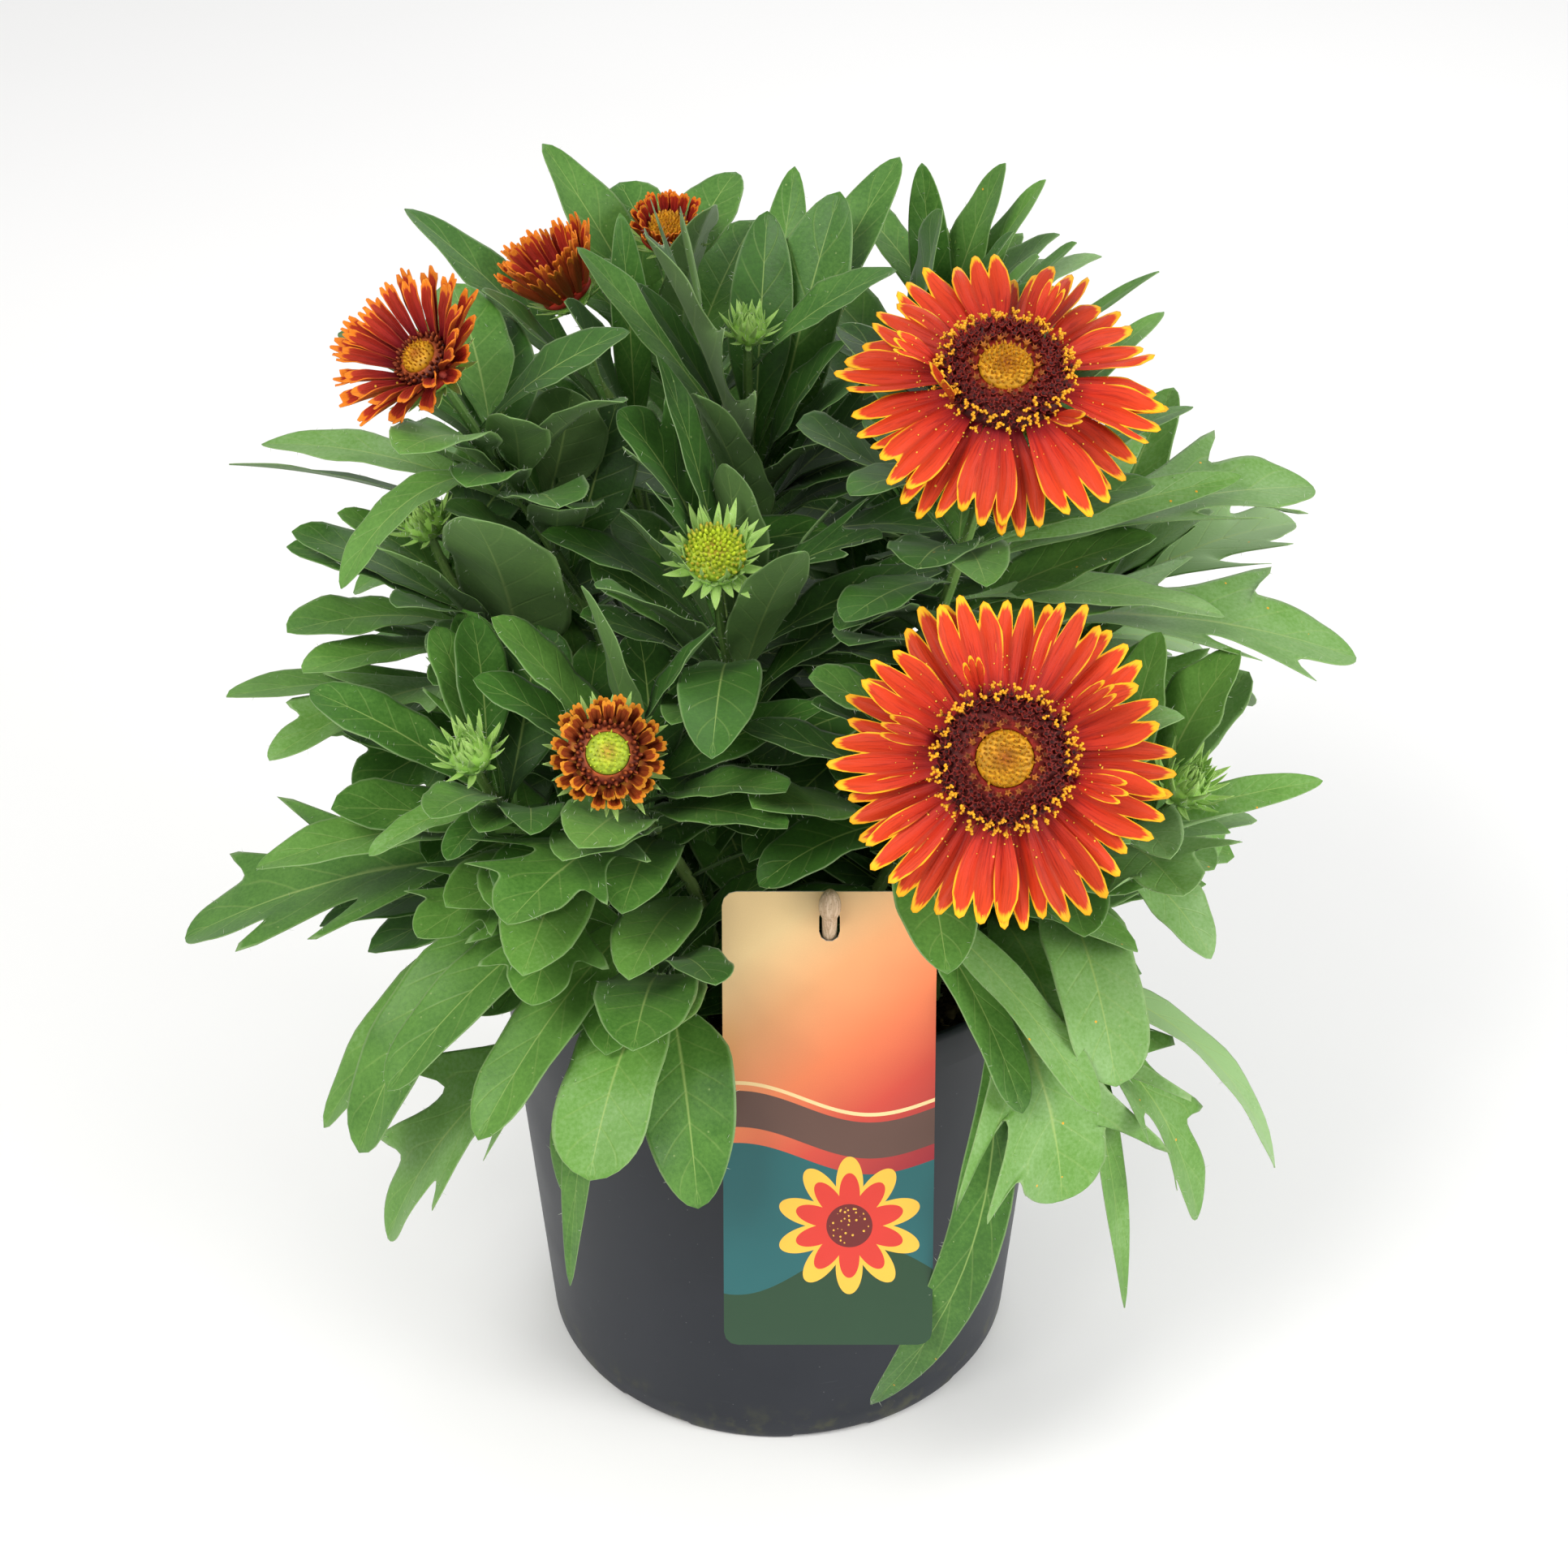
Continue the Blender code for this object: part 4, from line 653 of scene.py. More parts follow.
def cardFinish(groups):
    # A plain printed pattern of warm bands, a teal field and a rosette, with white paper at the edges.
    finish, net, shader = newFinish("printedCard", 0.33, 0.5, Coat_Weight=0.25, Coat_Roughness=0.25)
    place = cardFrame()
    local = net.node("ShaderNodeMapping", {"Vector": net.place(), "Location": place.to_translation(),
                                           "Rotation": place.to_euler()}, vector_type="TEXTURE").outputs[0]
    x, y, z = net.split(local)
    across = net.sum("DIVIDE", x, card["width"])
    low = card["aboveRim"] - card["height"]
    up = net.sum("DIVIDE", net.minus(z, low), card["height"])
    slant = net.sum("MULTIPLY_ADD", across, -0.35, up)
    warm = net.ramp(slant, [(0.25, (0.30, 0.015, 0.025)), (0.46, (0.56, 0.060, 0.035)), (0.64, (0.76, 0.20, 0.075)),
                            (0.82, (0.74, 0.34, 0.14)), (1.0, (0.78, 0.56, 0.27))])
    sway = net.times(net.sum("SINE", net.sum("MULTIPLY_ADD", across, 5.0, 0.6)), 0.035)
    level = net.plus(up, sway)
    warm = net.mix(net.band(level, 0.455, 0.535), warm, (0.11, 0.055, 0.040))
    warm = net.mix(net.band(level, 0.548, 0.556), warm, (0.86, 0.62, 0.30))
    field = net.sum("LESS_THAN", level, 0.42)
    warm = net.mix(field, warm, (0.010, 0.105, 0.110))
    warm = net.mix(net.sum("LESS_THAN", net.sum("MULTIPLY_ADD", sway, -1.6, up), 0.17), warm, (0.012, 0.050, 0.018))
    side = net.times(net.minus(across, 0.10), card["width"])
    rise = net.times(net.minus(up, 0.27), card["height"])
    far = net.sum("SQRT", net.plus(net.times(side, side), net.times(rise, rise)))
    angle = net.sum("ARCTAN2", rise, side)
    waves = net.absolute(net.sum("SINE", net.times(angle, 5.0)))
    petals = net.sum("LESS_THAN", far, net.sum("MULTIPLY_ADD", waves, 0.0085, 0.0125))
    inner = net.sum("LESS_THAN", far, net.sum("MULTIPLY_ADD", waves, 0.0065, 0.0095))
    art = net.mix(petals, warm, (0.82, 0.47, 0.05))
    art = net.mix(inner, art, (0.62, 0.035, 0.020))
    art = net.mix(net.sum("LESS_THAN", far, 0.0066), art, (0.14, 0.012, 0.010))
    dots = net.use(groups["specks"], Where=local, Scale=900.0, Size=0.30, Amount=0.5)["Mask"]
    art = net.mix(net.times(dots, net.sum("LESS_THAN", far, 0.0056)), art, (0.80, 0.45, 0.05))
    grain = net.use(groups["grain"], Where=local, Scale=3000.0)
    ink = net.step(grain["Shade"], 0.2, 0.8, 0.94, 1.05)
    art = net.shaded(art, ink)
    paper = net.mix(grain["Shade"], (0.78, 0.77, 0.74), (0.86, 0.85, 0.82))
    front = net.sum("LESS_THAN", y, card["thickness"] * 0.08)
    net.feed(shader.inputs["Base Color"], net.mix(front, paper, art))
    addBump(net, shader, grain["Height"], 0.05, 0.0001)
    return finish

# The plant tables

# Each stem: foot in the soil (x, y), its end (x, y, z), the way its head faces, the head.
stems = {
    "a": ((24, -42), (58, -120, 290), (0.00, -0.80, 0.60), "bloom_a"),
    "b": ((30, -14), (61, -30, 356), (0.02, -0.46, 0.89), "bloom_b"),
    "c": ((-34, -4), (-97, -20, 354), (-0.45, -0.45, 0.77), "bloom_c"),
    "d": ((-28, 26), (-64, 60, 339), (-0.45, -0.10, 0.89), "bloom_d"),
    "e": ((-12, 42), (-33, 90, 344), (0.00, -0.35, 0.94), "bloom_e"),
    "f": ((-18, -46), (-45, -90, 272), (0.05, -0.72, 0.69), "bloom_f"),
    "g": ((-4, -20), (-17, -40, 306), (0.00, -0.50, 0.87), "bud_g"),
    "h": ((-42, -34), (-84, -80, 269), (-0.20, -0.30, 0.93), "bud_h"),
    "i": ((52, -24), (116, -60, 246), (0.35, -0.25, 0.90), "bud_i"),
    "j": ((2, 18), (-8, 30, 342), (0.05, -0.20, 0.98), "bud_j"),
    "k": ((-56, 8), (-103, 0, 296), (-0.30, -0.20, 0.93), "bud_k"),
    "l": ((24, 46), (55, 100, 337), (0.10, 0.10, 0.99), "bud_l"),
    "m": ((-22, -62), (-34, -80, 192), (0.0, -0.5, 0.8), None),
    "n": ((46, -48), (60, -66, 188), (0.3, -0.5, 0.8), None),
    "o": ((58, 20), (98, 44, 240), (0.7, 0.3, 0.6), None),
    "p": ((30, 64), (52, 112, 235), (0.4, 0.8, 0.5), None),
    "q": ((-34, 58), (-66, 108, 240), (-0.4, 0.8, 0.5), None),
}

# Each leaf: stem, share of the stem's length where it grows, tip (x, y, z), width, arch, roll, shape.
leaves = [
    ("a", 0.45, (45, -125, 225), 18, 16, 0, "oval"),
    ("a", 0.30, (45, -120, 165), 11, 20, 0, "strap"),
    ("a", 0.28, (88, -120, 173), 11, 18, 0, "strap"),
    ("a", 0.55, (-5, -95, 232), 18, 14, 0, "oval"),
    ("a", 0.70, (22, -92, 268), 14, 8, 0, "oval"),
    ("a", 0.74, (54, -90, 322), 21, 12, 0, "oval"),
    ("a", 0.66, (9, -86, 277), 15, 8, 0, "oval"),
    ("b", 0.80, (110, 30, 343), 10, 6, 0, "lance"),
    ("b", 0.72, (119, 20, 318), 10, 8, 0, "lance"),
    ("b", 0.66, (133, 10, 301), 9, 10, 40, "lance"),
    ("b", 0.62, (156, 20, 292), 26, 14, 0, "lobed"),
    ("b", 0.50, (168, -10, 252), 26, 20, 0, "lobed"),
    ("b", 0.78, (24, -55, 328), 15, 12, 0, "oval"),
    ("b", 0.56, (126, -25, 275), 14, 12, 0, "lance"),
    ("b", 0.88, (12, -15, 352), 14, 5, 0, "oval"),
    ("b", 0.66, (37, -62, 312), 20, 8, 0, "oval"),
    ("b", 0.60, (18, -66, 298), 15, 8, 0, "oval"),
    ("b", 0.76, (24, 2, 324), 15, 6, 0, "oval"),
    ("b", 0.70, (96, -8, 322), 16, 8, 0, "oval"),
    ("c", 0.72, (-102, -30, 337), 14, 8, 0, "oval"),
    ("c", 0.70, (-149, 20, 306), 14, 12, 0, "lance"),
    ("c", 0.60, (-165, 20, 293), 8, 12, 30, "lance"),
    ("c", 0.78, (-120, -40, 293), 12, 22, 0, "lance"),
    ("c", 0.74, (-133, 30, 297), 8, 14, 40, "lance"),
    ("c", 0.66, (-57, -5, 336), 19, 8, 0, "oval"),
    ("c", 0.56, (-45, 10, 334), 18, 8, 0, "oval"),
    ("c", 0.62, (-80, -2, 320), 20, 8, 0, "oval"),
    ("c", 0.50, (-92, -22, 308), 18, 10, 0, "oval"),
    ("d", 0.74, (-110, 75, 355), 16, 8, 0, "lance"),
    ("d", 0.66, (-46, 65, 358), 10, 4, 0, "lance"),
    ("d", 0.58, (-61, 35, 344), 22, 8, 0, "oval"),
    ("d", 0.70, (-89, 40, 350), 14, 8, 0, "oval"),
    ("e", 0.64, (-71, 105, 363), 20, 10, 0, "lance"),
    ("e", 0.76, (-15, 75, 357), 18, 8, 0, "oval"),
    ("e", 0.60, (-52, 128, 322), 18, 14, 0, "oval"),
    ("e", 0.50, (-8, 142, 300), 18, 16, 0, "lance"),
    ("f", 0.62, (-52, -64, 308), 14, 6, 0, "oval"),
    ("f", 0.40, (-106, -125, 185), 16, 26, 0, "strap"),
    ("f", 0.56, (-70, -130, 245), 20, 14, 0, "lobed"),
    ("f", 0.34, (-81, -135, 176), 15, 22, 0, "strap"),
    ("g", 0.86, (-47, -20, 334), 20, 10, 0, "lobed"),
    ("g", 0.80, (-33, -10, 349), 13, 8, 0, "lance"),
    ("g", 0.62, (-48, -65, 308), 15, 10, 0, "oval"),
    ("g", 0.58, (6, -65, 319), 15, 8, 0, "lance"),
    ("g", 0.66, (-17, -105, 280), 18, 22, 0, "oval"),
    ("g", 0.74, (-35, -50, 318), 14, 4, 0, "oval"),
    ("g", 0.70, (-14, -22, 322), 16, 8, 0, "oval"),
    ("g", 0.50, (-36, -86, 288), 14, 12, 0, "oval"),
    ("h", 0.60, (-144, -80, 227), 16, 14, 0, "lance"),
    ("h", 0.46, (-171, -60, 188), 26, 18, 0, "lobed"),
    ("h", 0.82, (-110, -95, 242), 9, 8, 0, "lance"),
    ("h", 0.78, (-96, -100, 247), 9, 6, 0, "oval"),
    ("h", 0.44, (-118, -110, 150), 18, 30, 0, "strap"),
    ("h", 0.32, (-132, -85, 138), 18, 24, 0, "oval"),
    ("i", 0.84, (129, -40, 273), 22, 8, 0, "oval"),
    ("i", 0.72, (108, -30, 273), 18, 6, 0, "oval"),
    ("i", 0.78, (154, -50, 236), 8, 12, 40, "lance"),
    ("i", 0.60, (123, -75, 192), 15, 16, 0, "oval"),
    ("i", 0.46, (94, -110, 174), 20, 26, 0, "strap"),
    ("j", 0.70, (-40, 30, 352), 12, 6, 0, "lance"),
    ("j", 0.74, (-58, 50, 354), 13, 6, 0, "lance"),
    ("j", 0.62, (-33, 5, 360), 32, 8, 0, "lobed"),
    ("j", 0.66, (5, 90, 362), 13, 8, 0, "lance"),
    ("j", 0.76, (36, 85, 367), 16, 10, 0, "lance"),
    ("j", 0.68, (19, 20, 338), 17, 8, 0, "oval"),
    ("j", 0.72, (-3, 62, 360), 15, 8, 0, "oval"),
    ("j", 0.60, (18, 62, 366), 21, 10, 0, "oval"),
    ("j", 0.52, (-22, -8, 336), 18, 8, 0, "oval"),
    ("k", 0.70, (-137, -35, 276), 18, 10, 0, "oval"),
    ("k", 0.60, (-131, -50, 272), 12, 12, 0, "strap"),
    ("k", 0.66, (-103, -55, 296), 15, 8, 0, "oval"),
    ("k", 0.50, (-80, -60, 326), 28, 10, 0, "lance"),
    ("k", 0.46, (-154, -45, 261), 12, 12, 0, "strap"),
    ("k", 0.54, (-140, -65, 253), 14, 16, 0, "lobed"),
    ("k", 0.58, (-108, -44, 300), 16, 8, 0, "oval"),
    ("l", 0.80, (43, 95, 361), 10, 4, 0, "lance"),
    ("l", 0.78, (68, 95, 361), 14, 6, 0, "lance"),
    ("l", 0.74, (80, 92, 357), 12, 8, 0, "lance"),
    ("l", 0.70, (71, 75, 349), 13, 8, 0, "lance"),
    ("l", 0.62, (48, 65, 359), 21, 6, 0, "oval"),
    ("l", 0.66, (87, 60, 351), 12, 8, 0, "oval"),
    ("l", 0.58, (109, 40, 351), 10, 8, 0, "lance"),
    ("l", 0.56, (84, 130, 300), 18, 14, 0, "lance"),
    ("l", 0.60, (84, 62, 352), 18, 8, 0, "oval"),
    ("l", 0.50, (60, 40, 330), 20, 10, 0, "oval"),
    ("m", 0.80, (-46, -145, 216), 22, 14, 0, "oval"),
    ("m", 0.70, (-22, -130, 147), 22, 30, 0, "lance"),
    ("m", 0.76, (-51, -140, 166), 21, 24, 0, "strap"),
    ("m", 0.90, (-16, -135, 229), 13, 12, 0, "strap"),
    ("m", 0.80, (-60, -115, 104), 9, (-54, -112, 205), 0, "lance"),
    ("m", 0.62, (-59, -108, 130), 14, 30, 0, "oval"),
    ("m", 0.66, (-113, -105, 113), 20, 34, 0, "lobed"),
    ("n", 0.80, (81, -110, 132), 30, 26, 0, "lobed"),
    ("n", 0.84, (148, -75, 114), 12, 40, 0, "lance"),
    ("n", 0.74, (119, -100, 109), 15, 36, 0, "lobed"),
    ("n", 0.80, (103, -100, 81), 10, (90, -96, 210), 0, "lance"),
    ("n", 0.84, (28, -105, 46), 13, (72, -150, 150), 0, "lance"),
    ("o", 0.90, (158, 52, 262), 22, 14, 0, "lobed"),
    ("o", 0.80, (150, 62, 190), 18, 24, 0, "strap"),
    ("o", 0.66, (136, 6, 170), 18, 24, 0, "strap"),
    ("o", 0.94, (122, 84, 292), 18, 10, 0, "lance"),
    ("p", 0.92, (102, 138, 240), 20, 16, 0, "lobed"),
    ("p", 0.86, (44, 164, 232), 18, 18, 0, "strap"),
    ("p", 0.76, (92, 120, 160), 16, 24, 0, "strap"),
    ("p", 0.66, (18, 138, 150), 18, 24, 0, "oval"),
    ("q", 0.92, (-112, 138, 244), 20, 16, 0, "lobed"),
    ("q", 0.86, (-40, 166, 228), 18, 18, 0, "strap"),
    ("q", 0.80, (-138, 92, 214), 18, 20, 0, "strap"),
    ("q", 0.66, (-72, 134, 150), 16, 24, 0, "oval"),
    ("q", 0.70, (-122, 66, 160), 16, 24, 0, "strap"),
]


# Where stems run and leaves lie, the same as in the solids

plant = {
    "soilTop": 0.157,
    "riseOut": 0.0035,
    "holeDepth": 0.008,
    "stemRadius": 0.0022,
    "stalkRadius": 0.0014,
    "stalkHalf": 0.0008,  # half the width of a leaf's stalk at its root
    "fullness": 1.25,
    "fold": 0.18,
    "wave": 0.10,
    "ripple": 0.05,
    "thickness": 0.00045,
    "tipReach": 0.0007,  # how near a leaf's tip must come to a point of its solid
}
clearSteps = [(swing * side, lift) for lift in (0, 8, -8, 16) for swing in (0, 7, 14, 21) for side in (1, -1)]


def stemCurve(key, share):
    foot, end, facing, head = stems[key]
    start = Vector((foot[0] * mm, foot[1] * mm, plant["soilTop"] + plant["riseOut"]))
    axis = Vector(facing).normalized()
    top = Vector(end) * mm
    if head:
        top -= axis * heads[head]["depth"] * mm
    rise = top.z - start.z
    lower = start + Vector((0, 0, rise * 0.45))
    upper = top - (axis * 0.7 + Vector((0, 0, 0.3))) * rise * 0.35
    rest = 1.0 - share
    return start * rest ** 3 + lower * 3 * rest ** 2 * share + upper * 3 * rest * share ** 2 + top * share ** 3


def leafFrame(start, end, roll):
    along = (end - start).normalized()
    outward = Vector((end.x, end.y, 0.0))
    outward = outward.normalized() if outward.length > 1e-6 else Vector((0, -1, 0))
    across = (Vector((along.x, along.y, 0.0)) + outward * 0.25).cross(Vector((0, 0, 1))).normalized()
    across = (across - along * across.dot(along)).normalized()
    turn = Quaternion(along, math.radians(roll))
    return turn @ across, turn @ across.cross(along).normalized()


leafForms = {  # width at the foot, widening, where it starts and ends, where the tip begins to close
    "strap": (0.22, 0.78, 0.05, 0.50, 0.80),
    "lance": (0.20, 0.80, 0.08, 0.45, 0.52),
    "lobed": (0.16, 0.64, 0.06, 0.60, 0.84),
    "oval": (0.20, 0.80, 0.12, 0.56, 0.62),
}
lobes = {-1: ((0.42, 1.45), (0.65, 0.95)), 1: ((0.50, 1.35), (0.73, 0.75))}
leafColumns = np.array([-1, -0.9, -0.68, -0.4, -0.13, 0, 0.13, 0.4, 0.68, 0.9, 1])
fewColumns = np.array([-1, -0.85, -0.45, 0, 0.45, 0.85, 1])


def halfWidths(shape, shares, side):
    foot, widening, first, last, crown = leafForms[shape]
    body = foot + widening * ease(first, last, shares)
    closing = np.clip((shares - crown) / (1.0 - crown), 0.0, 1.0)
    body = body * (1.0 - closing ** 2.2) ** 0.62
    if shape == "lobed":
        for middle, size in lobes[side]:
            body = body + size * np.exp(-((shares - middle) / 0.050) ** 2)
    return body


def leafGrid(start, end, width, arch, roll, shape, tone, rows=22):
    # The middle sheet of a leaf as a grid of points, its upward way and its spots.
    across, upper = leafFrame(start, end, roll)
    length = (end - start).length
    middle = Vector(arch) * mm if isinstance(arch, tuple) else (start + end) / 2 + upper * arch * mm
    across, first, between, last = (np.array(value) for value in (across, start, middle, end))
    rows = 46 if shape == "lobed" else rows  # fewer than 20 rows for a small leaf
    shares = 1 - (1 - np.linspace(0, 1, rows)) ** 1.3
    t = shares[:, None]
    centre = first * (1 - t) ** 2 + between * 2 * t * (1 - t) + last * t ** 2
    run = unit((between - first) * (1 - t) + (last - between) * t)
    lift = unit(np.cross(across, run))
    halves = []
    waves = []
    for side in (-1, 1):
        half = width / 2 * halfWidths(shape, shares, side)
        half = plant["stalkHalf"] + (half - plant["stalkHalf"]) * ease(0.0, 0.25, shares)
        halves.append(np.maximum(half, 0.00016))
        ripple = plant["ripple"] * np.sin(shares * 26 + side * 2.1 + tone * 40) * ease(0.1, 0.4, shares)
        waves.append(half * (plant["wave"] * np.sin(shares * 9.0 + side * 1.3 + length * 70) + ripple))
    c = (leafColumns if rows > 20 else fewColumns)[None, :]
    half = np.where(c < 0, halves[0][:, None], halves[1][:, None])
    wave = np.where(c < 0, waves[0][:, None], waves[1][:, None])
    off = np.abs(c)
    rise = plant["fold"] * half * off ** 1.2 + wave * off ** 1.8
    forward = 1.15 * np.maximum(half - width * 0.35, 0.0) * off ** 1.5 if shape == "lobed" else 0.0 * half
    points = (centre[:, None] + across * (c * half)[..., None] + lift[:, None] * rise[..., None]
              + run[:, None] * forward[..., None])
    spots = np.stack(np.broadcast_arrays(c, t, tone), axis=-1)
    return points, lift[:, None], spots


leafHairs = {"blade": 0.012, "edge": 0.5, "edgeFrom": 0.8, "foot": 1.6, "footTo": 0.30}


def addLeaf(sheets, grid, look="leaf"):
    points, lift, spots = grid
    c, along = spots[..., 0], spots[..., 1]
    plain = plant["thickness"] / 2 * (1 - 0.55 * np.abs(c) ** 3)
    rib = np.where(np.abs(c) < 0.05, 0.00055 * (1.05 - along), 0.0)
    cover = (leafHairs["blade"] + leafHairs["edge"] * (np.abs(c) > leafHairs["edgeFrom"])
             + leafHairs["foot"] * ease(leafHairs["footTo"], 0.0, along))
    sheets.blade(points, lift, plain - rib * 0.30, plain + rib, spots, look, cover)


def swung(start, tip, swing, lift):
    return start + Matrix.Rotation(math.radians(swing), 3, "Z") @ (tip - start) + Vector((0, 0, lift * mm))


def solidTip(key, start, tip, near):
    # The solids bend a leaf clear by a few steps of swing and lift: the step is the one whose tip is there.
    for swing, lift in clearSteps:
        end = swung(start, tip, swing, lift)
        if near.find(end)[2] < plant["tipReach"]:
            return end
    print("leaf of stem", key, "stays as drawn")
    return tip


# What stands in the way of the small leaves

def sheetTree(points, step=3):
    part = points[::step, ::2]
    rows, columns = part.shape[:2]
    grid = np.arange(rows * columns).reshape(rows, columns)
    faces = [(grid[r, c], grid[r, c + 1], grid[r + 1, c + 1], grid[r + 1, c])
             for r in range(rows - 1) for c in range(columns - 1)]
    faces = [tuple(int(corner) for corner in face) for face in faces]
    flat = part.reshape(-1, 3)
    return BVHTree.FromPolygons(flat.tolist(), faces), flat.min(0), flat.max(0), flat


class Crowd:
    # The solids and leaves that are there, and what the camera sees in front.

    def __init__(self):
        self.trees = []
        self.shown = []

    def addNode(self, name):
        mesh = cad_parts[name].data
        points = np.array([vertex.co for vertex in mesh.vertices])
        faces = [tuple(face.vertices) for face in mesh.polygons]
        self.trees.append((BVHTree.FromPolygons(points.tolist(), faces), points.min(0), points.max(0)))

    def addSheet(self, points):
        self.trees.append(sheetTree(points)[:3])

    def keepInView(self, place, radius):
        self.shown.append((np.array(place), radius))

    def free(self, points, inside):
        tree, low, high, flat = sheetTree(points)
        if (low < inside[0]).any() or (high > inside[1]).any():
            return False
        eye = np.array(viewFrom["place"])
        for place, radius in self.shown:
            way = place - eye
            far = np.linalg.norm(way)
            reach = (flat - eye) @ (way / far)
            off = np.linalg.norm(flat - eye - reach[:, None] * way / far, axis=1) / reach * far
            if ((off < radius) & (reach < far + 0.01)).any():
                return False
        for other, otherLow, otherHigh in self.trees:
            if (low < otherHigh).all() and (high > otherLow).all() and tree.overlap(other):
                return False
        return True


smallLeaves = {
    "tries": 9000,
    "most": 440,
    "length": (0.078, 0.044),  # low on the stem, high on the stem
    "width": (0.024, 0.017),
    "rise": (-8, 50),
    "shapes": ("oval", "lance", "strap", "oval", "lobed", "lance"),
    "bare": 5,  # rows at a leaf's foot that may touch others
}


# How far each leaf's tone is painted lighter outward and to the right and darker inside, standing in for light and
# shade, and how widely it spreads at random.
toneAndPaintedLightSteps = {"inner": 0.21, "outward": 0.44, "reach": 0.15, "right": 2.4, "rightFrom": 0.03, "spread": 0.17}


def leafToneWithPaintedLight(tip):
    # Painted light and shade: outer and right-hand leaves are painted paler, as if lit from outside and from the right,
    # and the inner ones painted deep, as if in the plant's own shade; a random spread of tone comes on top.
    outward = min(math.hypot(tip.x, tip.y) / toneAndPaintedLightSteps["reach"], 1.0)
    right = max(tip.x - toneAndPaintedLightSteps["rightFrom"], 0.0)
    return (toneAndPaintedLightSteps["inner"] + toneAndPaintedLightSteps["outward"] * outward + toneAndPaintedLightSteps["right"] * right
            + draw.uniform(-toneAndPaintedLightSteps["spread"], toneAndPaintedLightSteps["spread"]))


def growSmallLeaves(drawn, crowd, inside):
    # Leaves tried at places up the stems, and kept where they are clear of all that is there.
    added = 0
    keys = list(stems)
    for index in range(smallLeaves["tries"]):
        key = keys[index % len(keys)]
        high = draw.uniform(0.0, 1.0)
        start = stemCurve(key, 0.02 + 0.93 * high)
        size = draw.uniform(1.0, 1.25) if index < smallLeaves["tries"] * 0.4 else draw.uniform(0.6, 1.0)
        low, top = smallLeaves["length"]
        length = (low + (top - low) * high) * size
        low, top = smallLeaves["width"]
        width = (low + (top - low) * high) * size * draw.uniform(0.8, 1.15)
        low, top = smallLeaves["rise"]
        rise = math.radians(low + (top - low) * high + draw.uniform(-18, 18))
        tip = start + around(length * math.cos(rise), length * math.sin(rise), draw.uniform(0, 2 * math.pi))
        shape = draw.choice(smallLeaves["shapes"])
        grid = leafGrid(start, tip, width, length * draw.uniform(90, 220), draw.uniform(-12, 12), shape,
                        leafToneWithPaintedLight(tip), 16)
        if crowd.free(grid[0][smallLeaves["bare"]:], inside):
            crowd.addSheet(grid[0][smallLeaves["bare"]:])
            drawn[key].append(grid)
            added += 1
        if added == smallLeaves["most"]:
            break
    return added


# Flower heads, in millimetres and degrees, the same as in the solids

heads = {
    "bloom_a": dict(depth=12.0, disc=17.0, well=7.6, dome=4.6, hub=11.0, rays=18, length=34.0,
                    width=15.5, rise=-6.0, fall=-4.0, lean=0.0, toothed=True, look="ray_red"),
    "bloom_b": dict(depth=12.0, disc=17.0, well=7.6, dome=5.0, hub=11.0, rays=18, length=34.0,
                    width=15.0, rise=-4.0, fall=-14.0, lean=20.0, toothed=True, look="ray_red"),
    "bloom_c": dict(depth=10.0, disc=7.4, well=5.0, dome=2.4, hub=10.0, rays=15, length=19.0,
                    width=5.4, rise=42.0, fall=34.0, lean=8.0, toothed=False, look="ray_dark_red"),
    "bloom_d": dict(depth=9.5, disc=5.4, well=0.0, dome=2.0, hub=8.0, rays=12, length=19.0,
                    width=5.0, rise=54.0, fall=66.0, lean=0.0, toothed=False, look="ray_dark_red"),
    "bloom_e": dict(depth=9.5, disc=6.0, well=0.0, dome=2.0, hub=8.6, rays=13, length=8.5,
                    width=3.6, rise=56.0, fall=64.0, lean=0.0, toothed=False, look="ray_dark_red"),
    "bloom_f": dict(depth=10.0, disc=8.6, well=6.0, dome=2.4, hub=11.2, rays=16, length=8.0,
                    width=4.2, rise=46.0, fall=40.0, lean=0.0, toothed=False, look="ray_brown"),
    "bud_g": dict(depth=9.0, disc=8.4, well=0.0, dome=3.6, hub=0.0, rays=0),
    "bud_h": dict(depth=10.0, ball=7.0),
    "bud_i": dict(depth=11.0, ball=8.0),
    "bud_j": dict(depth=9.0, ball=6.0),
    "bud_k": dict(depth=10.0, ball=7.0),
    "bud_l": dict(depth=6.0, ball=3.5),
}
seat = {"gap": 0.0003, "hubDepth": 0.002, "skirt": 0.0009, "wellDrop": 0.0012,
        "layers": (0.28, 0.72), "parting": 2.5, "rayInset": 0.0012}
curledRays = {  # angle round the head, length, width, rise, fall
    "bloom_a": ((255, 20, 8, 46, 20), (73, 19, 8, 44, 24), (124, 20, 7, 50, 12), (200, 16, 6, 40, 60)),
    "bloom_b": ((300, 20, 9, 74, 60), (262, 18, 8, 50, 20), (40, 17, 8, 52, 30), (150, 16, 7, 44, 20)),
}


def headPlace(key):
    _, end, facing, head = stems[key]
    axis = Vector(facing).normalized()
    turn = Vector((0, 0, 1)).rotation_difference(axis).to_matrix().to_4x4()
    return Matrix.Translation(Vector(end) * mm - axis * heads[head]["depth"] * mm) @ turn


def headLevels(size):
    # Heights over the stalk's end: top of the cup, hub, top of the hub, underside of the disc.
    discLow = (size["depth"] - size["dome"] - 0.9) * mm
    if not size["rays"]:
        return discLow - seat["gap"], None, None, discLow
    hubTop = discLow - seat["gap"]
    hubLow = hubTop - seat["hubDepth"]
    return hubLow - seat["gap"], hubLow, hubTop, discLow


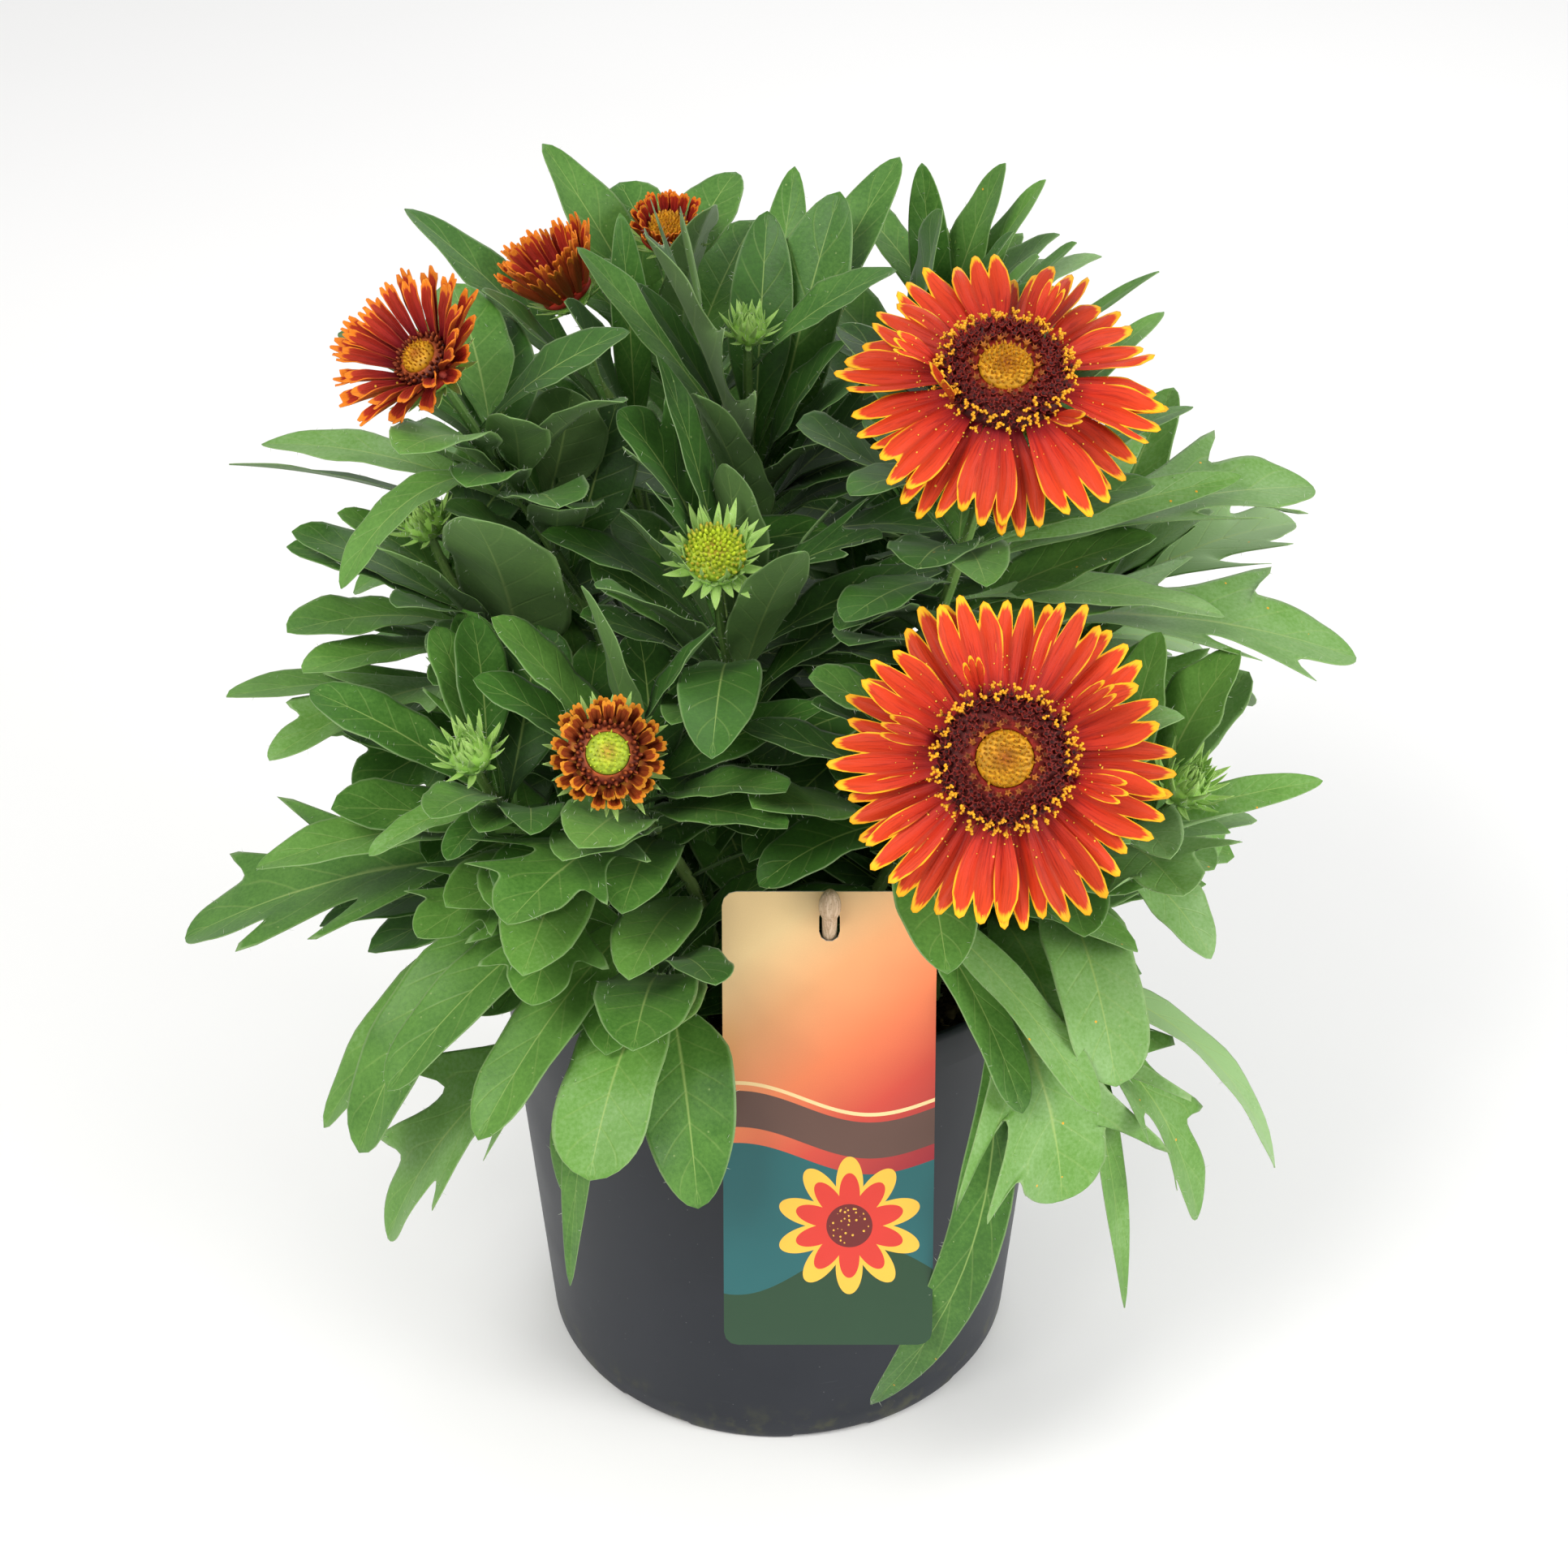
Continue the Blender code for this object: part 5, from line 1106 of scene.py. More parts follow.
def wellFloor(size, low):
    outer, inner = size["disc"], size["well"]
    return low + seat["skirt"] + size["dome"] * mm * math.sqrt(1.0 - (inner / outer) ** 2) - seat["wellDrop"]


toothMiddles = (-0.66, 0.0, 0.66)
rayColumns = np.array([-1, -0.93, -0.81, -0.66, -0.51, -0.41, -0.33, -0.25, -0.13, 0,
                       0.13, 0.25, 0.33, 0.41, 0.51, 0.66, 0.81, 0.93, 1])
quillColumns = np.array([-1, -0.8, -0.5, -0.33, -0.15, 0, 0.15, 0.33, 0.5, 0.8, 1])


def petal(angle, start, length, width, rise, fall, notch, roll, look, luck):
    # A ray as a grid: three teeth, furrows that run to the notches, rolled in at its sides.
    broad = look == "ray_red"
    columns = rayColumns if broad else quillColumns
    rows = 18 if broad else 13
    out = around(1.0, 0.0, angle)
    up = Vector((0, 0, 1))
    slope, far = math.radians(rise), math.radians(fall)
    middle = start + (out * math.cos(slope) + up * math.sin(slope)) * length * 0.5
    end = middle + (out * math.cos(far) + up * math.sin(far)) * length * 0.5
    across = np.array(out.cross(up).normalized())
    first, between, last = np.array(start), np.array(middle), np.array(end)
    c = columns[None, :]
    tooth = np.array(toothMiddles)[np.argmin(np.abs(c[..., None] - np.array(toothMiddles)), axis=-1)]
    which = np.round(tooth / 0.66).astype(int) + 1
    tips = np.array([0.96 + luck.uniform(-0.05, 0.04), 1.01, 0.96 + luck.uniform(-0.05, 0.04)])[which]
    notch = notch * luck.uniform(0.7, 1.25)
    ends = tips - notch * np.minimum(np.abs(c - tooth) / 0.33, 1.0) ** 2.7
    step = 1 - (1 - np.linspace(0, 1, rows)) ** 1.35
    t = step[:, None] * ends
    body = 0.24 + 0.76 * ease(0.0, 0.72, t) ** 0.85
    if not broad:
        body = 0.5 + 0.5 * ease(0.0, 0.6, t)
    half = width / 2 * body
    parted = tooth + (c - tooth) * (1 - 0.10 * ease(0.72, 1.0, t))
    turn = np.maximum(roll * (1 - 0.55 * ease(0.65, 1.0, t)), 0.02)
    aside = half * np.sin(turn * parted) / turn
    rises = half * (1 - np.cos(turn * parted)) / turn
    rises = rises + 0.085 * half * np.cos(3 * math.pi * c) * ease(0.05, 0.4, t) * (1 - 0.4 * ease(0.8, 1, t))
    cupped = luck.uniform(-0.05, 0.13)
    curls = np.array([luck.uniform(-0.05, 0.07) for _ in range(3)])[which]
    rises = rises + cupped * half * c ** 2 + curls * length * ease(0.62, 1.05, t) ** 1.5
    rises = rises + 0.03 * half * np.sin(t * 17 + luck.uniform(0, 6)) * np.abs(c) ** 2
    t3 = t[..., None]
    centre = first * (1 - t3) ** 2 + between * 2 * t3 * (1 - t3) + last * t3 ** 2
    run = unit((between - first) * (1 - t3) + (last - between) * t3)
    lift = unit(np.cross(across, run))
    points = centre + across * aside[..., None] + lift * rises[..., None]
    tone = luck.uniform(0.1, 0.9)
    spots = np.stack(np.broadcast_arrays(c, step[:, None], tone), axis=-1)
    dust = np.broadcast_to(ease(0.75, 0.1, t) if look == "ray_red" else 0.0 * t, t.shape)
    return points, lift, spots, dust


petalSheet = 0.00016  # from the middle of a petal to either face
quill = {"rolled": 1.45, "notch": 0.12, "fuller": 1.16, "nextShort": 0.90, "nextWide": 1.08, "nextSteeper": 9,
         "nextInset": 0.0009}


def addRays(sheets, head):
    size = heads[head]
    _, low, top, _ = headLevels(size)
    hub = size["hub"] * mm
    luck = random.Random(head)
    look = size["look"]
    sheets.turned([(0, low), (hub * 0.9, low), (hub, low + 0.0006), (hub, top - 0.0003), (hub * 0.97, top), (0, top)],
                  36, look, None, 0.3)
    for index in range(size["rays"]):
        turn = (index + 0.5) / size["rays"] * 2 * math.pi
        wander = math.sin(index * 2.1)
        drop = size["lean"] * max(math.cos(turn), 0.0) ** 2
        layer = index % 2 if size["toothed"] else 0
        turn += math.radians(luck.uniform(-4.5, 4.5))
        sway = luck.uniform(-4.0, 3.0)
        start = around(hub - seat["rayInset"], low + seat["hubDepth"] * seat["layers"][layer], turn)
        length = size["length"] * (1.0 + 0.05 * wander) * mm
        width = size["width"] * (1.0 + 0.08 * math.sin(index * 3.3)) * mm
        rise = size["rise"] - drop * 0.4 + 0.6 * wander
        fall = size["fall"] - drop - wander
        if size["toothed"]:
            parting = seat["parting"] * (2 * layer - 1)
            folded = luck.choice((0.15, 0.15, 0.3, 0.5, 0.9))
            grid = petal(turn, start, length, width * (1.0 + 0.16 * layer), rise + parting + sway,
                         fall + parting + sway, 0.25, folded, look, luck)
        else:
            grid = petal(turn, start, length, width * quill["fuller"], rise, fall, quill["notch"], quill["rolled"],
                         look, luck)
        grids = [grid]
        if not size["toothed"]:
            # A second round of quills stands between the first, a little steeper.
            turn += math.pi / size["rays"]
            start = around(hub - seat["rayInset"] - quill["nextInset"], top + 0.0002, turn)
            grids.append(petal(turn, start, length * quill["nextShort"], width * quill["nextWide"],
                               rise + quill["nextSteeper"], fall + quill["nextSteeper"], quill["notch"],
                               quill["rolled"], look, luck))
        for points, lift, spots, dust in grids:
            sheets.blade(points, lift, petalSheet, petalSheet, spots, look, dust)
    for angle, length, width, rise, fall in curledRays.get(head, ()):
        turn = math.radians(angle)
        start = around(size["disc"] * mm * 0.98, top + 0.0002, turn)
        points, lift, spots, dust = petal(turn, start, length * mm, width * mm, rise, fall, 0.22, 0.9, look, luck)
        sheets.blade(points, lift, petalSheet, petalSheet, spots, look, dust)


def domeProfile(outer, low, dome, inner=0.0, floor=0.0, steps=14):
    # A low dome from the axis underneath to the axis on top, with a well in it if inner is set.
    profile = [(0.0, low), (outer * 0.93, low), (outer * 0.985, low + 0.0003), (outer, low + seat["skirt"])]
    for index in range(1, steps + 1):
        radius = outer + (inner - outer) * index / steps
        profile.append((radius, low + seat["skirt"] + dome * math.sqrt(max(1.0 - (radius / outer) ** 2, 0.0))))
    if inner:
        profile += [(inner - 0.0001, floor), (0.0, floor)]
    return profile


# Shapes that repeat

def lump(sheets, centre, radius, look, along, tone=0.5):
    # A rough grain of twenty faces.
    golden = (1 + math.sqrt(5)) / 2
    corners = [(-1, golden, 0), (1, golden, 0), (-1, -golden, 0), (1, -golden, 0), (0, -1, golden), (0, 1, golden),
               (0, -1, -golden), (0, 1, -golden), (golden, 0, -1), (golden, 0, 1), (-golden, 0, -1), (-golden, 0, 1)]
    faces = [(0, 11, 5), (0, 5, 1), (0, 1, 7), (0, 7, 10), (0, 10, 11), (1, 5, 9), (5, 11, 4), (11, 10, 2),
             (10, 7, 6), (7, 1, 8), (3, 9, 4), (3, 4, 2), (3, 2, 6), (3, 6, 8), (3, 8, 9), (4, 9, 5), (2, 4, 11),
             (6, 2, 10), (8, 6, 7), (9, 8, 1)]
    points = np.array(centre) + unit(np.array(corners, float)) * radius
    sheets.add(points, faces, look, np.tile((0.0, along, tone), (12, 1)))


def makeBract():
    # One unit long, along +Y from the origin, channelled, with a fine point.
    sheets = Sheets()
    shares = np.linspace(0, 1, 9)[:, None]
    c = np.array([-1, -0.5, 0, 0.5, 1])[None, :]
    half = 0.125 * (0.72 + 0.28 * ease(0.0, 0.3, shares)) * (1 - shares ** 1.9) ** 0.9 + 0.002
    points = np.stack(np.broadcast_arrays(c * half, shares, 0.30 * shares ** 2 + 0.35 * np.abs(c) * half), axis=-1)
    lift = np.array((0.0, 0.0, 1.0))
    spots = np.stack(np.broadcast_arrays(c, shares, 0.5), axis=-1)
    sheets.blade(points, lift, 0.012, 0.030 * (1.1 - shares), spots, "none", 1.0)
    return sheets.shape("bractShape")


def makeOpenFloret():
    sheets = Sheets()
    sides = 10
    rings = []
    points = []
    spots = []
    for radius, height, flare, drop, along in ((0.20, 0.0, 0, 0, 0.0), (0.25, 0.55, 0, 0, 0.5),
                                               (0.42, 0.86, 0.16, 0.12, 0.9), (0.20, 0.72, 0.0, 0.0, 0.2)):
        rings.append(list(range(len(points), len(points) + sides)))
        for side in range(sides):
            tip = 1.0 if side % 2 == 0 else -1.0
            points.append(around(radius + flare * tip, height + drop * tip, 2 * math.pi * side / sides))
            spots.append((side / sides, along, 0.5))
    foot, heart = len(points), len(points) + 1
    points += [Vector((0, 0, 0)), Vector((0, 0, 0.5))]
    spots += [(0, 0, 0.5), (0, 0, 0.5)]
    faces = []
    for side in range(sides):
        after = (side + 1) % sides
        faces.append((foot, rings[0][after], rings[0][side]))
        for low, high in zip(rings, rings[1:]):
            faces.append((low[side], low[after], high[after], high[side]))
        faces.append((rings[-1][side], rings[-1][after], heart))
    sheets.add(points, faces, "none", spots)
    return sheets.shape("openFloret")


def makeShutFloret():
    sheets = Sheets()
    sheets.turned([(0, 0), (0.34, 0.02), (0.44, 0.4), (0.30, 0.78), (0.12, 0.96), (0, 1.0)], 5, "none")
    return sheets.shape("shutFloret")


def makeStyle():
    # A thin style whose two arms carry pollen.
    sheets = Sheets()
    sheets.tube([(0, 0, 0), (0.03, 0, 0.35), (0, 0.02, 0.66)], [0.055, 0.05, 0.06], 4, "none", 0.5)
    for side in (-1, 1):
        sheets.tube([(0, 0, 0.6), (0.10 * side, 0, 0.82), (0.24 * side, 0.03, 0.93)], [0.05, 0.05, 0.03], 3, "none")
    for x, y, z, radius in ((0, 0, 0.70, 0.11), (0.09, 0.05, 0.80, 0.10), (-0.08, -0.05, 0.79, 0.11),
                            (0.19, 0.0, 0.90, 0.09), (-0.20, 0.03, 0.89, 0.10)):
        lump(sheets, (x, y, z), radius, "none", 0.95)
    made = sheets.shape("styleShape")
    spots = made.data.attributes["spot"].data
    for vertex, spot in zip(made.data.vertices, spots):
        spot.vector = (0.0, min(vertex.co.z, 1.0), 0.5)
    return made


def makeGrain():
    sheets = Sheets()
    lump(sheets, (0, 0, 0.4), 0.5, "none", 0.5)
    return sheets.shape("grainShape")


def makeHair():
    sheets = Sheets()
    sheets.add([(1, 0, 0), (-0.5, 0.87, 0), (-0.5, -0.87, 0), (0.9, 0, 1)],
               [(0, 2, 1), (0, 1, 3), (1, 2, 3), (2, 0, 3)], "none")
    return sheets.shape("hairShape")


def makeChip(name, size, seed):
    # A broken chip of bark: a rough block of two rings.
    luck = random.Random(seed)
    sheets = Sheets()
    profile = [(0, -0.35), (0.42, -0.3), (0.5, 0.0), (0.42, 0.3), (0, 0.36)]
    sheets.turned(profile, 7, "none")
    points = sheets.points[0]
    for point in points:
        point *= np.array(size) * (1 + 0.28 * np.array([luck.uniform(-1, 1) for _ in range(3)]))
    return sheets.shape(name)


# Trees that repeat them

def newShapeTree(name, inputs):
    tree = bpy.data.node_groups.new(name, "GeometryNodeTree")
    tree.interface.new_socket("Geometry", in_out="INPUT", socket_type="NodeSocketGeometry")
    for label, kind, value in inputs:
        socket = tree.interface.new_socket(label, in_out="INPUT", socket_type="NodeSocket" + kind)
        if value is not None:
            socket.default_value = value
    tree.interface.new_socket("Geometry", in_out="OUTPUT", socket_type="NodeSocketGeometry")
    net = Net(tree)
    return tree, net, net.node("NodeGroupInput").outputs, net.node("NodeGroupOutput").inputs


def randomFloat(net, low, high, seed):
    made = net.node("FunctionNodeRandomValue", {2: low, 3: high, 8: seed}, data_type="FLOAT")
    return made.outputs[1]


def randomTurn(net, start, lean, seeds):
    # A rotation with a lean of its own about both sides and any turn about its axis.
    back = net.times(lean, -1.0)
    tilt = net.triple(randomFloat(net, back, lean, seeds[0]), randomFloat(net, back, lean, seeds[1]),
                      randomFloat(net, 0.0, 6.28, seeds[2]))
    turn = net.node("FunctionNodeEulerToRotation", {0: tilt}).outputs[0]
    return net.node("FunctionNodeRotateRotation", {"Rotation": start, "Rotate By": turn},
                    rotation_space="LOCAL").outputs[0]


def onCircle(net, radius, angle):
    return net.times(radius, net.sum("SINE", angle)), net.times(radius, net.times(net.sum("COSINE", angle), -1.0))


def closeTree(net, given, out, points, rotation, scale):
    # The given shape at each point with its own tone, made real and given its finish.
    shape = net.node("GeometryNodeObjectInfo", {"Object": given["Shape"]}).outputs["Geometry"]
    placed = net.node("GeometryNodeInstanceOnPoints", {"Points": points, "Instance": shape, "Rotation": rotation,
                                                       "Scale": scale})
    toned = net.node("GeometryNodeStoreNamedAttribute", {"Geometry": placed.outputs[0], "Name": "tone"},
                     data_type="FLOAT", domain="INSTANCE")
    net.feed(toned.inputs["Value"], randomFloat(net, 0.0, 1.0, 5))
    real = net.node("GeometryNodeRealizeInstances", {"Geometry": toned.outputs[0]})
    dressed = net.node("GeometryNodeSetMaterial", {"Geometry": real.outputs[0], "Material": given["Finish"]})
    net.feed(out[0], dressed.outputs[0])


def makeSprinkleTree():
    # Hairs, grains or crumbs on a surface, as thick as its cover attribute says.
    tree, net, given, out = newShapeTree("sprinkle", [
        ("Shape", "Object", None), ("Finish", "Material", None), ("Density", "Float", 1e6),
        ("Thickness", "Float", 0.0001), ("Length", "Float", 0.001), ("Spread", "Float", 0.4),
        ("Lean", "Float", 0.5), ("Seed", "Int", 1)])
    cover = net.node("GeometryNodeInputNamedAttribute", {"Name": "cover"}, data_type="FLOAT").outputs["Attribute"]
    spread = net.node("GeometryNodeDistributePointsOnFaces", {"Mesh": given["Geometry"], "Seed": given["Seed"]},
                      distribute_method="RANDOM")
    net.feed(spread.inputs["Density"], net.times(cover, given["Density"]))
    rotation = randomTurn(net, spread.outputs["Rotation"], given["Lean"], (11, 12, 13))
    low = net.minus(1.0, given["Spread"])
    high = net.plus(1.0, given["Spread"])
    size = randomFloat(net, low, high, 14)
    wide = net.times(size, given["Thickness"])
    tall = net.times(size, given["Length"])
    scale = net.triple(wide, wide, tall)
    closeTree(net, given, out, spread.outputs["Points"], rotation, scale)
    return tree


def makeSpiralTree():
    # Florets on a dome, each turned from the one before by the golden angle.
    tree, net, given, out = newShapeTree("floretSpiral", [
        ("Shape", "Object", None), ("Finish", "Material", None), ("First", "Int", 0), ("Count", "Int", 100),
        ("Whole", "Float", 100.0), ("Radius", "Float", 0.01), ("Foot", "Float", 0.0), ("Dome", "Float", 0.004),
        ("Step", "Float", goldenAngle), ("Size", "Float", 0.002), ("Growth", "Float", 0.0),
        ("Height", "Float", 1.0), ("Lean", "Float", 0.2), ("Disorder", "Float", 0.2), ("Seed", "Int", 1)])
    points = net.node("GeometryNodePoints", {"Count": given["Count"]}).outputs[0]
    number = net.plus(net.node("GeometryNodeInputIndex").outputs[0], given["First"])
    share = net.sum("DIVIDE", net.plus(number, 0.5), given["Whole"])
    part = net.sum("SQRT", share)
    radius = net.times(part, given["Radius"])
    angle = net.times(number, given["Step"])
    x, y = onCircle(net, radius, angle)
    bulge = net.sum("SQRT", net.sum("MAXIMUM", net.minus(1.0, share), 0.0))
    z = net.sum("MULTIPLY_ADD", bulge, given["Dome"], given["Foot"])
    place = net.triple(x, y, z)
    moved = net.node("GeometryNodeSetPosition", {"Geometry": points, "Position": place}).outputs[0]
    marked = net.node("GeometryNodeStoreNamedAttribute", {"Geometry": moved, "Name": "share"},
                      data_type="FLOAT", domain="POINT")
    net.feed(marked.inputs["Value"], share)
    leaning = net.sum("DIVIDE", given["Lean"], given["Radius"])
    way = net.triple(net.times(x, leaning), net.times(y, leaning), net.plus(bulge, 0.35))
    facing = net.node("FunctionNodeAlignRotationToVector", {"Vector": way}, axis="Z").outputs[0]
    seed = net.times(given["Seed"], 10.0)
    rotation = randomTurn(net, facing, given["Disorder"], (seed, net.plus(seed, 1.0), net.plus(seed, 2.0)))
    size = net.times(given["Size"], net.sum("MULTIPLY_ADD", part, given["Growth"], 1.0))
    size = net.times(size, randomFloat(net, 0.85, 1.15, net.plus(seed, 3.0)))
    tall = net.times(size, given["Height"])
    scale = net.triple(size, size, tall)
    closeTree(net, given, out, marked.outputs[0], rotation, scale)
    return tree


def makeWhorlTree():
    # Bracts that climb a cup or a bud, from wide open below to upright on top.
    tree, net, given, out = newShapeTree("bractWhorl", [
        ("Shape", "Object", None), ("Finish", "Material", None), ("Count", "Int", 20), ("Step", "Float", goldenAngle),
        ("Low Radius", "Float", 0.004), ("High Radius", "Float", 0.002), ("Low Height", "Float", 0.0),
        ("High Height", "Float", 0.006), ("Low Rise", "Float", 0.1), ("High Rise", "Float", 1.3),
        ("Low Length", "Float", 0.01), ("High Length", "Float", 0.005), ("Spread", "Float", 0.12),
        ("Wideness", "Float", 1.0)])
    number = net.node("GeometryNodeInputIndex").outputs[0]
    share = net.sum("DIVIDE", number, net.minus(given["Count"], 1.0))

    def between(label):
        run = net.minus(given["High " + label], given["Low " + label])
        return net.sum("MULTIPLY_ADD", share, run, given["Low " + label])

    angle = net.times(number, given["Step"])
    radius = between("Radius")
    x, y = onCircle(net, radius, angle)
    place = net.triple(x, y, between("Height"))
    points = net.node("GeometryNodePoints", {"Count": given["Count"], "Position": place}).outputs[0]
    back = net.times(given["Spread"], -1.0)
    rise = net.plus(between("Rise"), randomFloat(net, back, given["Spread"], 3))
    spin = net.plus(net.plus(angle, math.pi), randomFloat(net, back, given["Spread"], 4))
    tilt = net.triple(rise, randomFloat(net, -0.25, 0.25, 6), spin)
    rotation = net.node("FunctionNodeEulerToRotation", {0: tilt}).outputs[0]
    size = net.times(between("Length"), randomFloat(net, 0.85, 1.15, 7))
    wide = net.times(size, given["Wideness"])
    scale = net.triple(wide, size, size)
    closeTree(net, given, out, points, rotation, scale)
    return tree


def grow(name, tree, values, carrier=None, place=None):
    # Runs a tree and keeps what it makes as a plain mesh, set in its place.
    bed = carrier or meshObject("seedbed", [(0, 0, 0)], [])
    step = bed.modifiers.new(tree.name, "NODES")
    step.node_group = tree
    for item in tree.interface.items_tree:
        if item.in_out == "INPUT" and item.name in values:
            step[item.identifier] = values[item.name]
    bpy.context.view_layer.update()
    view = bpy.context.evaluated_depsgraph_get()
    mesh = bpy.data.meshes.new_from_object(bed.evaluated_get(view), preserve_all_data_layers=True, depsgraph=view)
    bed.modifiers.clear()
    if not carrier:
        bpy.data.objects.remove(bed, do_unlink=True)
    mesh.materials.clear()
    mesh.materials.append(values["Finish"])
    mesh.polygons.foreach_set("material_index", [0] * len(mesh.polygons))
    if place:
        mesh.transform(place)
    return newObject(name, mesh)


def joinAll(name, pieces):
    pieces = [piece for piece in pieces if piece and len(piece.data.polygons)]
    first = pieces[0]
    if len(pieces) > 1:
        with bpy.context.temp_override(active_object=first, object=first, selected_objects=pieces,
                                       selected_editable_objects=pieces):
            bpy.ops.object.join()
    first.name = name
    first.data.name = name
    return first


# Pot, soil, root, peg and card

pot = {"height": 0.171, "rim": 0.095, "collarDepth": 0.015, "collar": 0.0935, "wallTop": 0.0872, "base": 0.0755,
       "foot": 0.003, "wall": 0.0016, "sides": 360, "notches": 8, "notchWidth": 0.024, "notchHeight": 0.002,
       "notchDepth": 0.0055, "notchPhase": 13.0}


def makePot(finishes):
    top, base, wall, foot = pot["height"], pot["base"], pot["wall"], pot["foot"]
    step = top - pot["collarDepth"]
    inside = base - pot["notchDepth"]
    outer = [(base - foot, 0.0), (base - foot * 0.3, foot * 0.3), (base, foot)]
    for share in (0.04, 0.3, 0.6, 0.9, 0.985):
        outer.append((base + (pot["wallTop"] - base) * share, foot + (step - 0.001 - foot) * share))
    outer += [(pot["wallTop"], step - 0.0011), (pot["collar"] - 0.0012, step - 0.0002), (pot["collar"], step + 0.0005),
              (pot["collar"] + 0.0008, step + 0.006), (pot["rim"], top - 0.003), (pot["rim"], top - 0.0008),
              (pot["rim"] - 0.0003, top - 0.0002), (pot["rim"] - 0.0008, top), (pot["rim"] - wall + 0.0004, top),
              (pot["rim"] - wall, top - 0.0004), (pot["collar"] - wall, step + 0.003), (pot["wallTop"] - wall, step),
              (base - wall, foot + wall), (base - foot - wall, wall), (0.0, wall)]
    profile = [(0.0, 0.0), (inside - 0.0002, 0.0), (inside, 0.0)] + outer
    sheets = Sheets()
    sheets.turned(profile, pot["sides"], "pot")
    reach = math.asin(pot["notchWidth"] / 2 / inside)
    for point in sheets.points[0]:
        radius = math.hypot(point[0], point[1])
        if radius < inside - 0.0001 or point[2] > pot["notchHeight"]:
            continue
        turn = (math.atan2(point[0], -point[1]) - math.radians(pot["notchPhase"])) % (2 * math.pi / pot["notches"])
        if min(turn, 2 * math.pi / pot["notches"] - turn) < reach and radius < base + 0.001 and point[2] < 0.0016:
            if abs(point[2] - wall) > 0.0001 or radius > base - foot:
                point[2] = max(point[2], pot["notchHeight"] - 0.0005)
    made = sheets.build("nurseryPot", finishes)
    made.data.set_sharp_from_angle(angle=math.radians(32))
    return made


soil = {"rough": 0.0022, "rings": 44, "sides": 120, "top": 0.157}


def soilHeight(x, y):
    spot = Vector((x, y, 0.0))
    broad = mathutils.noise.noise(spot * 60)
    fine = mathutils.noise.noise(spot * 260 + Vector((5, 3, 1)))
    grit = mathutils.noise.noise(spot * 700 + Vector((9, 1, 4)))
    return soil["top"] + 0.0005 + soil["rough"] * (broad * 0.7 + fine * 0.45 + grit * 0.25)


def makeSoil(finishes):
    # The soil in the pot, with crumbs, bark and fibres strewn on top.
    share = soil["top"] / pot["height"]
    edge = pot["base"] + (pot["wallTop"] - pot["base"]) * share - pot["wall"] - 0.0009
    low = pot["base"] - pot["foot"] - pot["wall"] - 0.001
    profile = [(0.0, 0.0019), (low, 0.0019), (low + 0.0028, 0.0055)]
    profile += [(edge * ring / soil["rings"], soil["top"]) for ring in range(soil["rings"], 0, -1)]
    profile += [(0.0, soil["top"])]
    sheets = Sheets()
    sheets.turned(profile, soil["sides"], "soil")
    points = sheets.points[0]
    cover = np.zeros(len(points))
    for index, point in enumerate(points):
        if point[2] > 0.1:
            point[2] = soilHeight(point[0], point[1])
            cover[index] = 1.0 if math.hypot(point[0], point[1]) < edge * 0.97 else 0.0
    sheets.cover[0] = cover
    ground = sheets.build("soilTop", finishes)
    bark = finishes["bark"]
    strewn = [ground]
    for number, (shape, density, thick, tall, finish) in enumerate((
            (makeChip("chunk", (1.0, 0.7, 0.5), 3), 20000, 0.0056, 0.0050, bark),
            (makeChip("flake", (1.6, 0.8, 0.22), 4), 18000, 0.0054, 0.0052, bark),
            (makeChip("crumb", (0.9, 0.8, 0.8), 5), 30000, 0.0034, 0.0030, finishes["soil"]),
            (makeChip("fibre", (6.0, 0.35, 0.35), 6), 16000, 0.0020, 0.0020, bark))):
        strewn.append(grow("strewn%d" % number, trees["sprinkle"], {
            "Shape": shape, "Finish": finish, "Density": float(density), "Thickness": thick, "Length": tall,
            "Spread": 0.55, "Lean": 0.6, "Seed": 20 + number}, ground))
        bpy.data.objects.remove(shape, do_unlink=True)
    return joinAll("pottingSoil", strewn)


def makeRoot(finishes):
    # A thin root that comes out of the soil and hangs over the rim beside the card.
    sheets = Sheets()
    places = ((0.026, -0.058, 0.157), (0.034, -0.070, 0.163), (0.0405, -0.0815, 0.1700), (0.0425, -0.0862, 0.1722),
              (0.0432, -0.0872, 0.1720), (0.0418, -0.0878, 0.1690), (0.0404, -0.0882, 0.1650))
    path = [Vector(place) for place in places]
    fine = []
    for index in range(len(path) - 1):
        for step in range(5):
            fine.append(path[index].lerp(path[index + 1], step / 5))
    fine.append(path[-1])
    smooth = [fine[0]] + [(fine[i - 1] + fine[i] * 2 + fine[i + 1]) / 4 for i in range(1, len(fine) - 1)] + [fine[-1]]
    sheets.tube(smooth, [0.0007 - 0.0004 * i / len(smooth) for i in range(len(smooth))], 7, "root", 0.5, 0.0)
    return sheets.build("surfaceRoot", finishes)


card = {"width": 0.060, "height": 0.136, "thickness": 0.0006, "tilt": 20.0, "x": 0.0145, "aboveRim": 0.050,
        "holeDrop": 0.0095}
peg = {"radius": 0.0021, "head": 0.0032, "headLength": 0.011, "lean": 15.0, "depth": 0.030}


def cardFrame():
    tilt = math.radians(card["tilt"])
    rest = Vector((card["x"], -pot["rim"] - seat["gap"] - card["thickness"], pot["height"] + seat["gap"]))
    return Matrix.Translation(rest) @ Matrix.Rotation(-tilt, 4, "X")


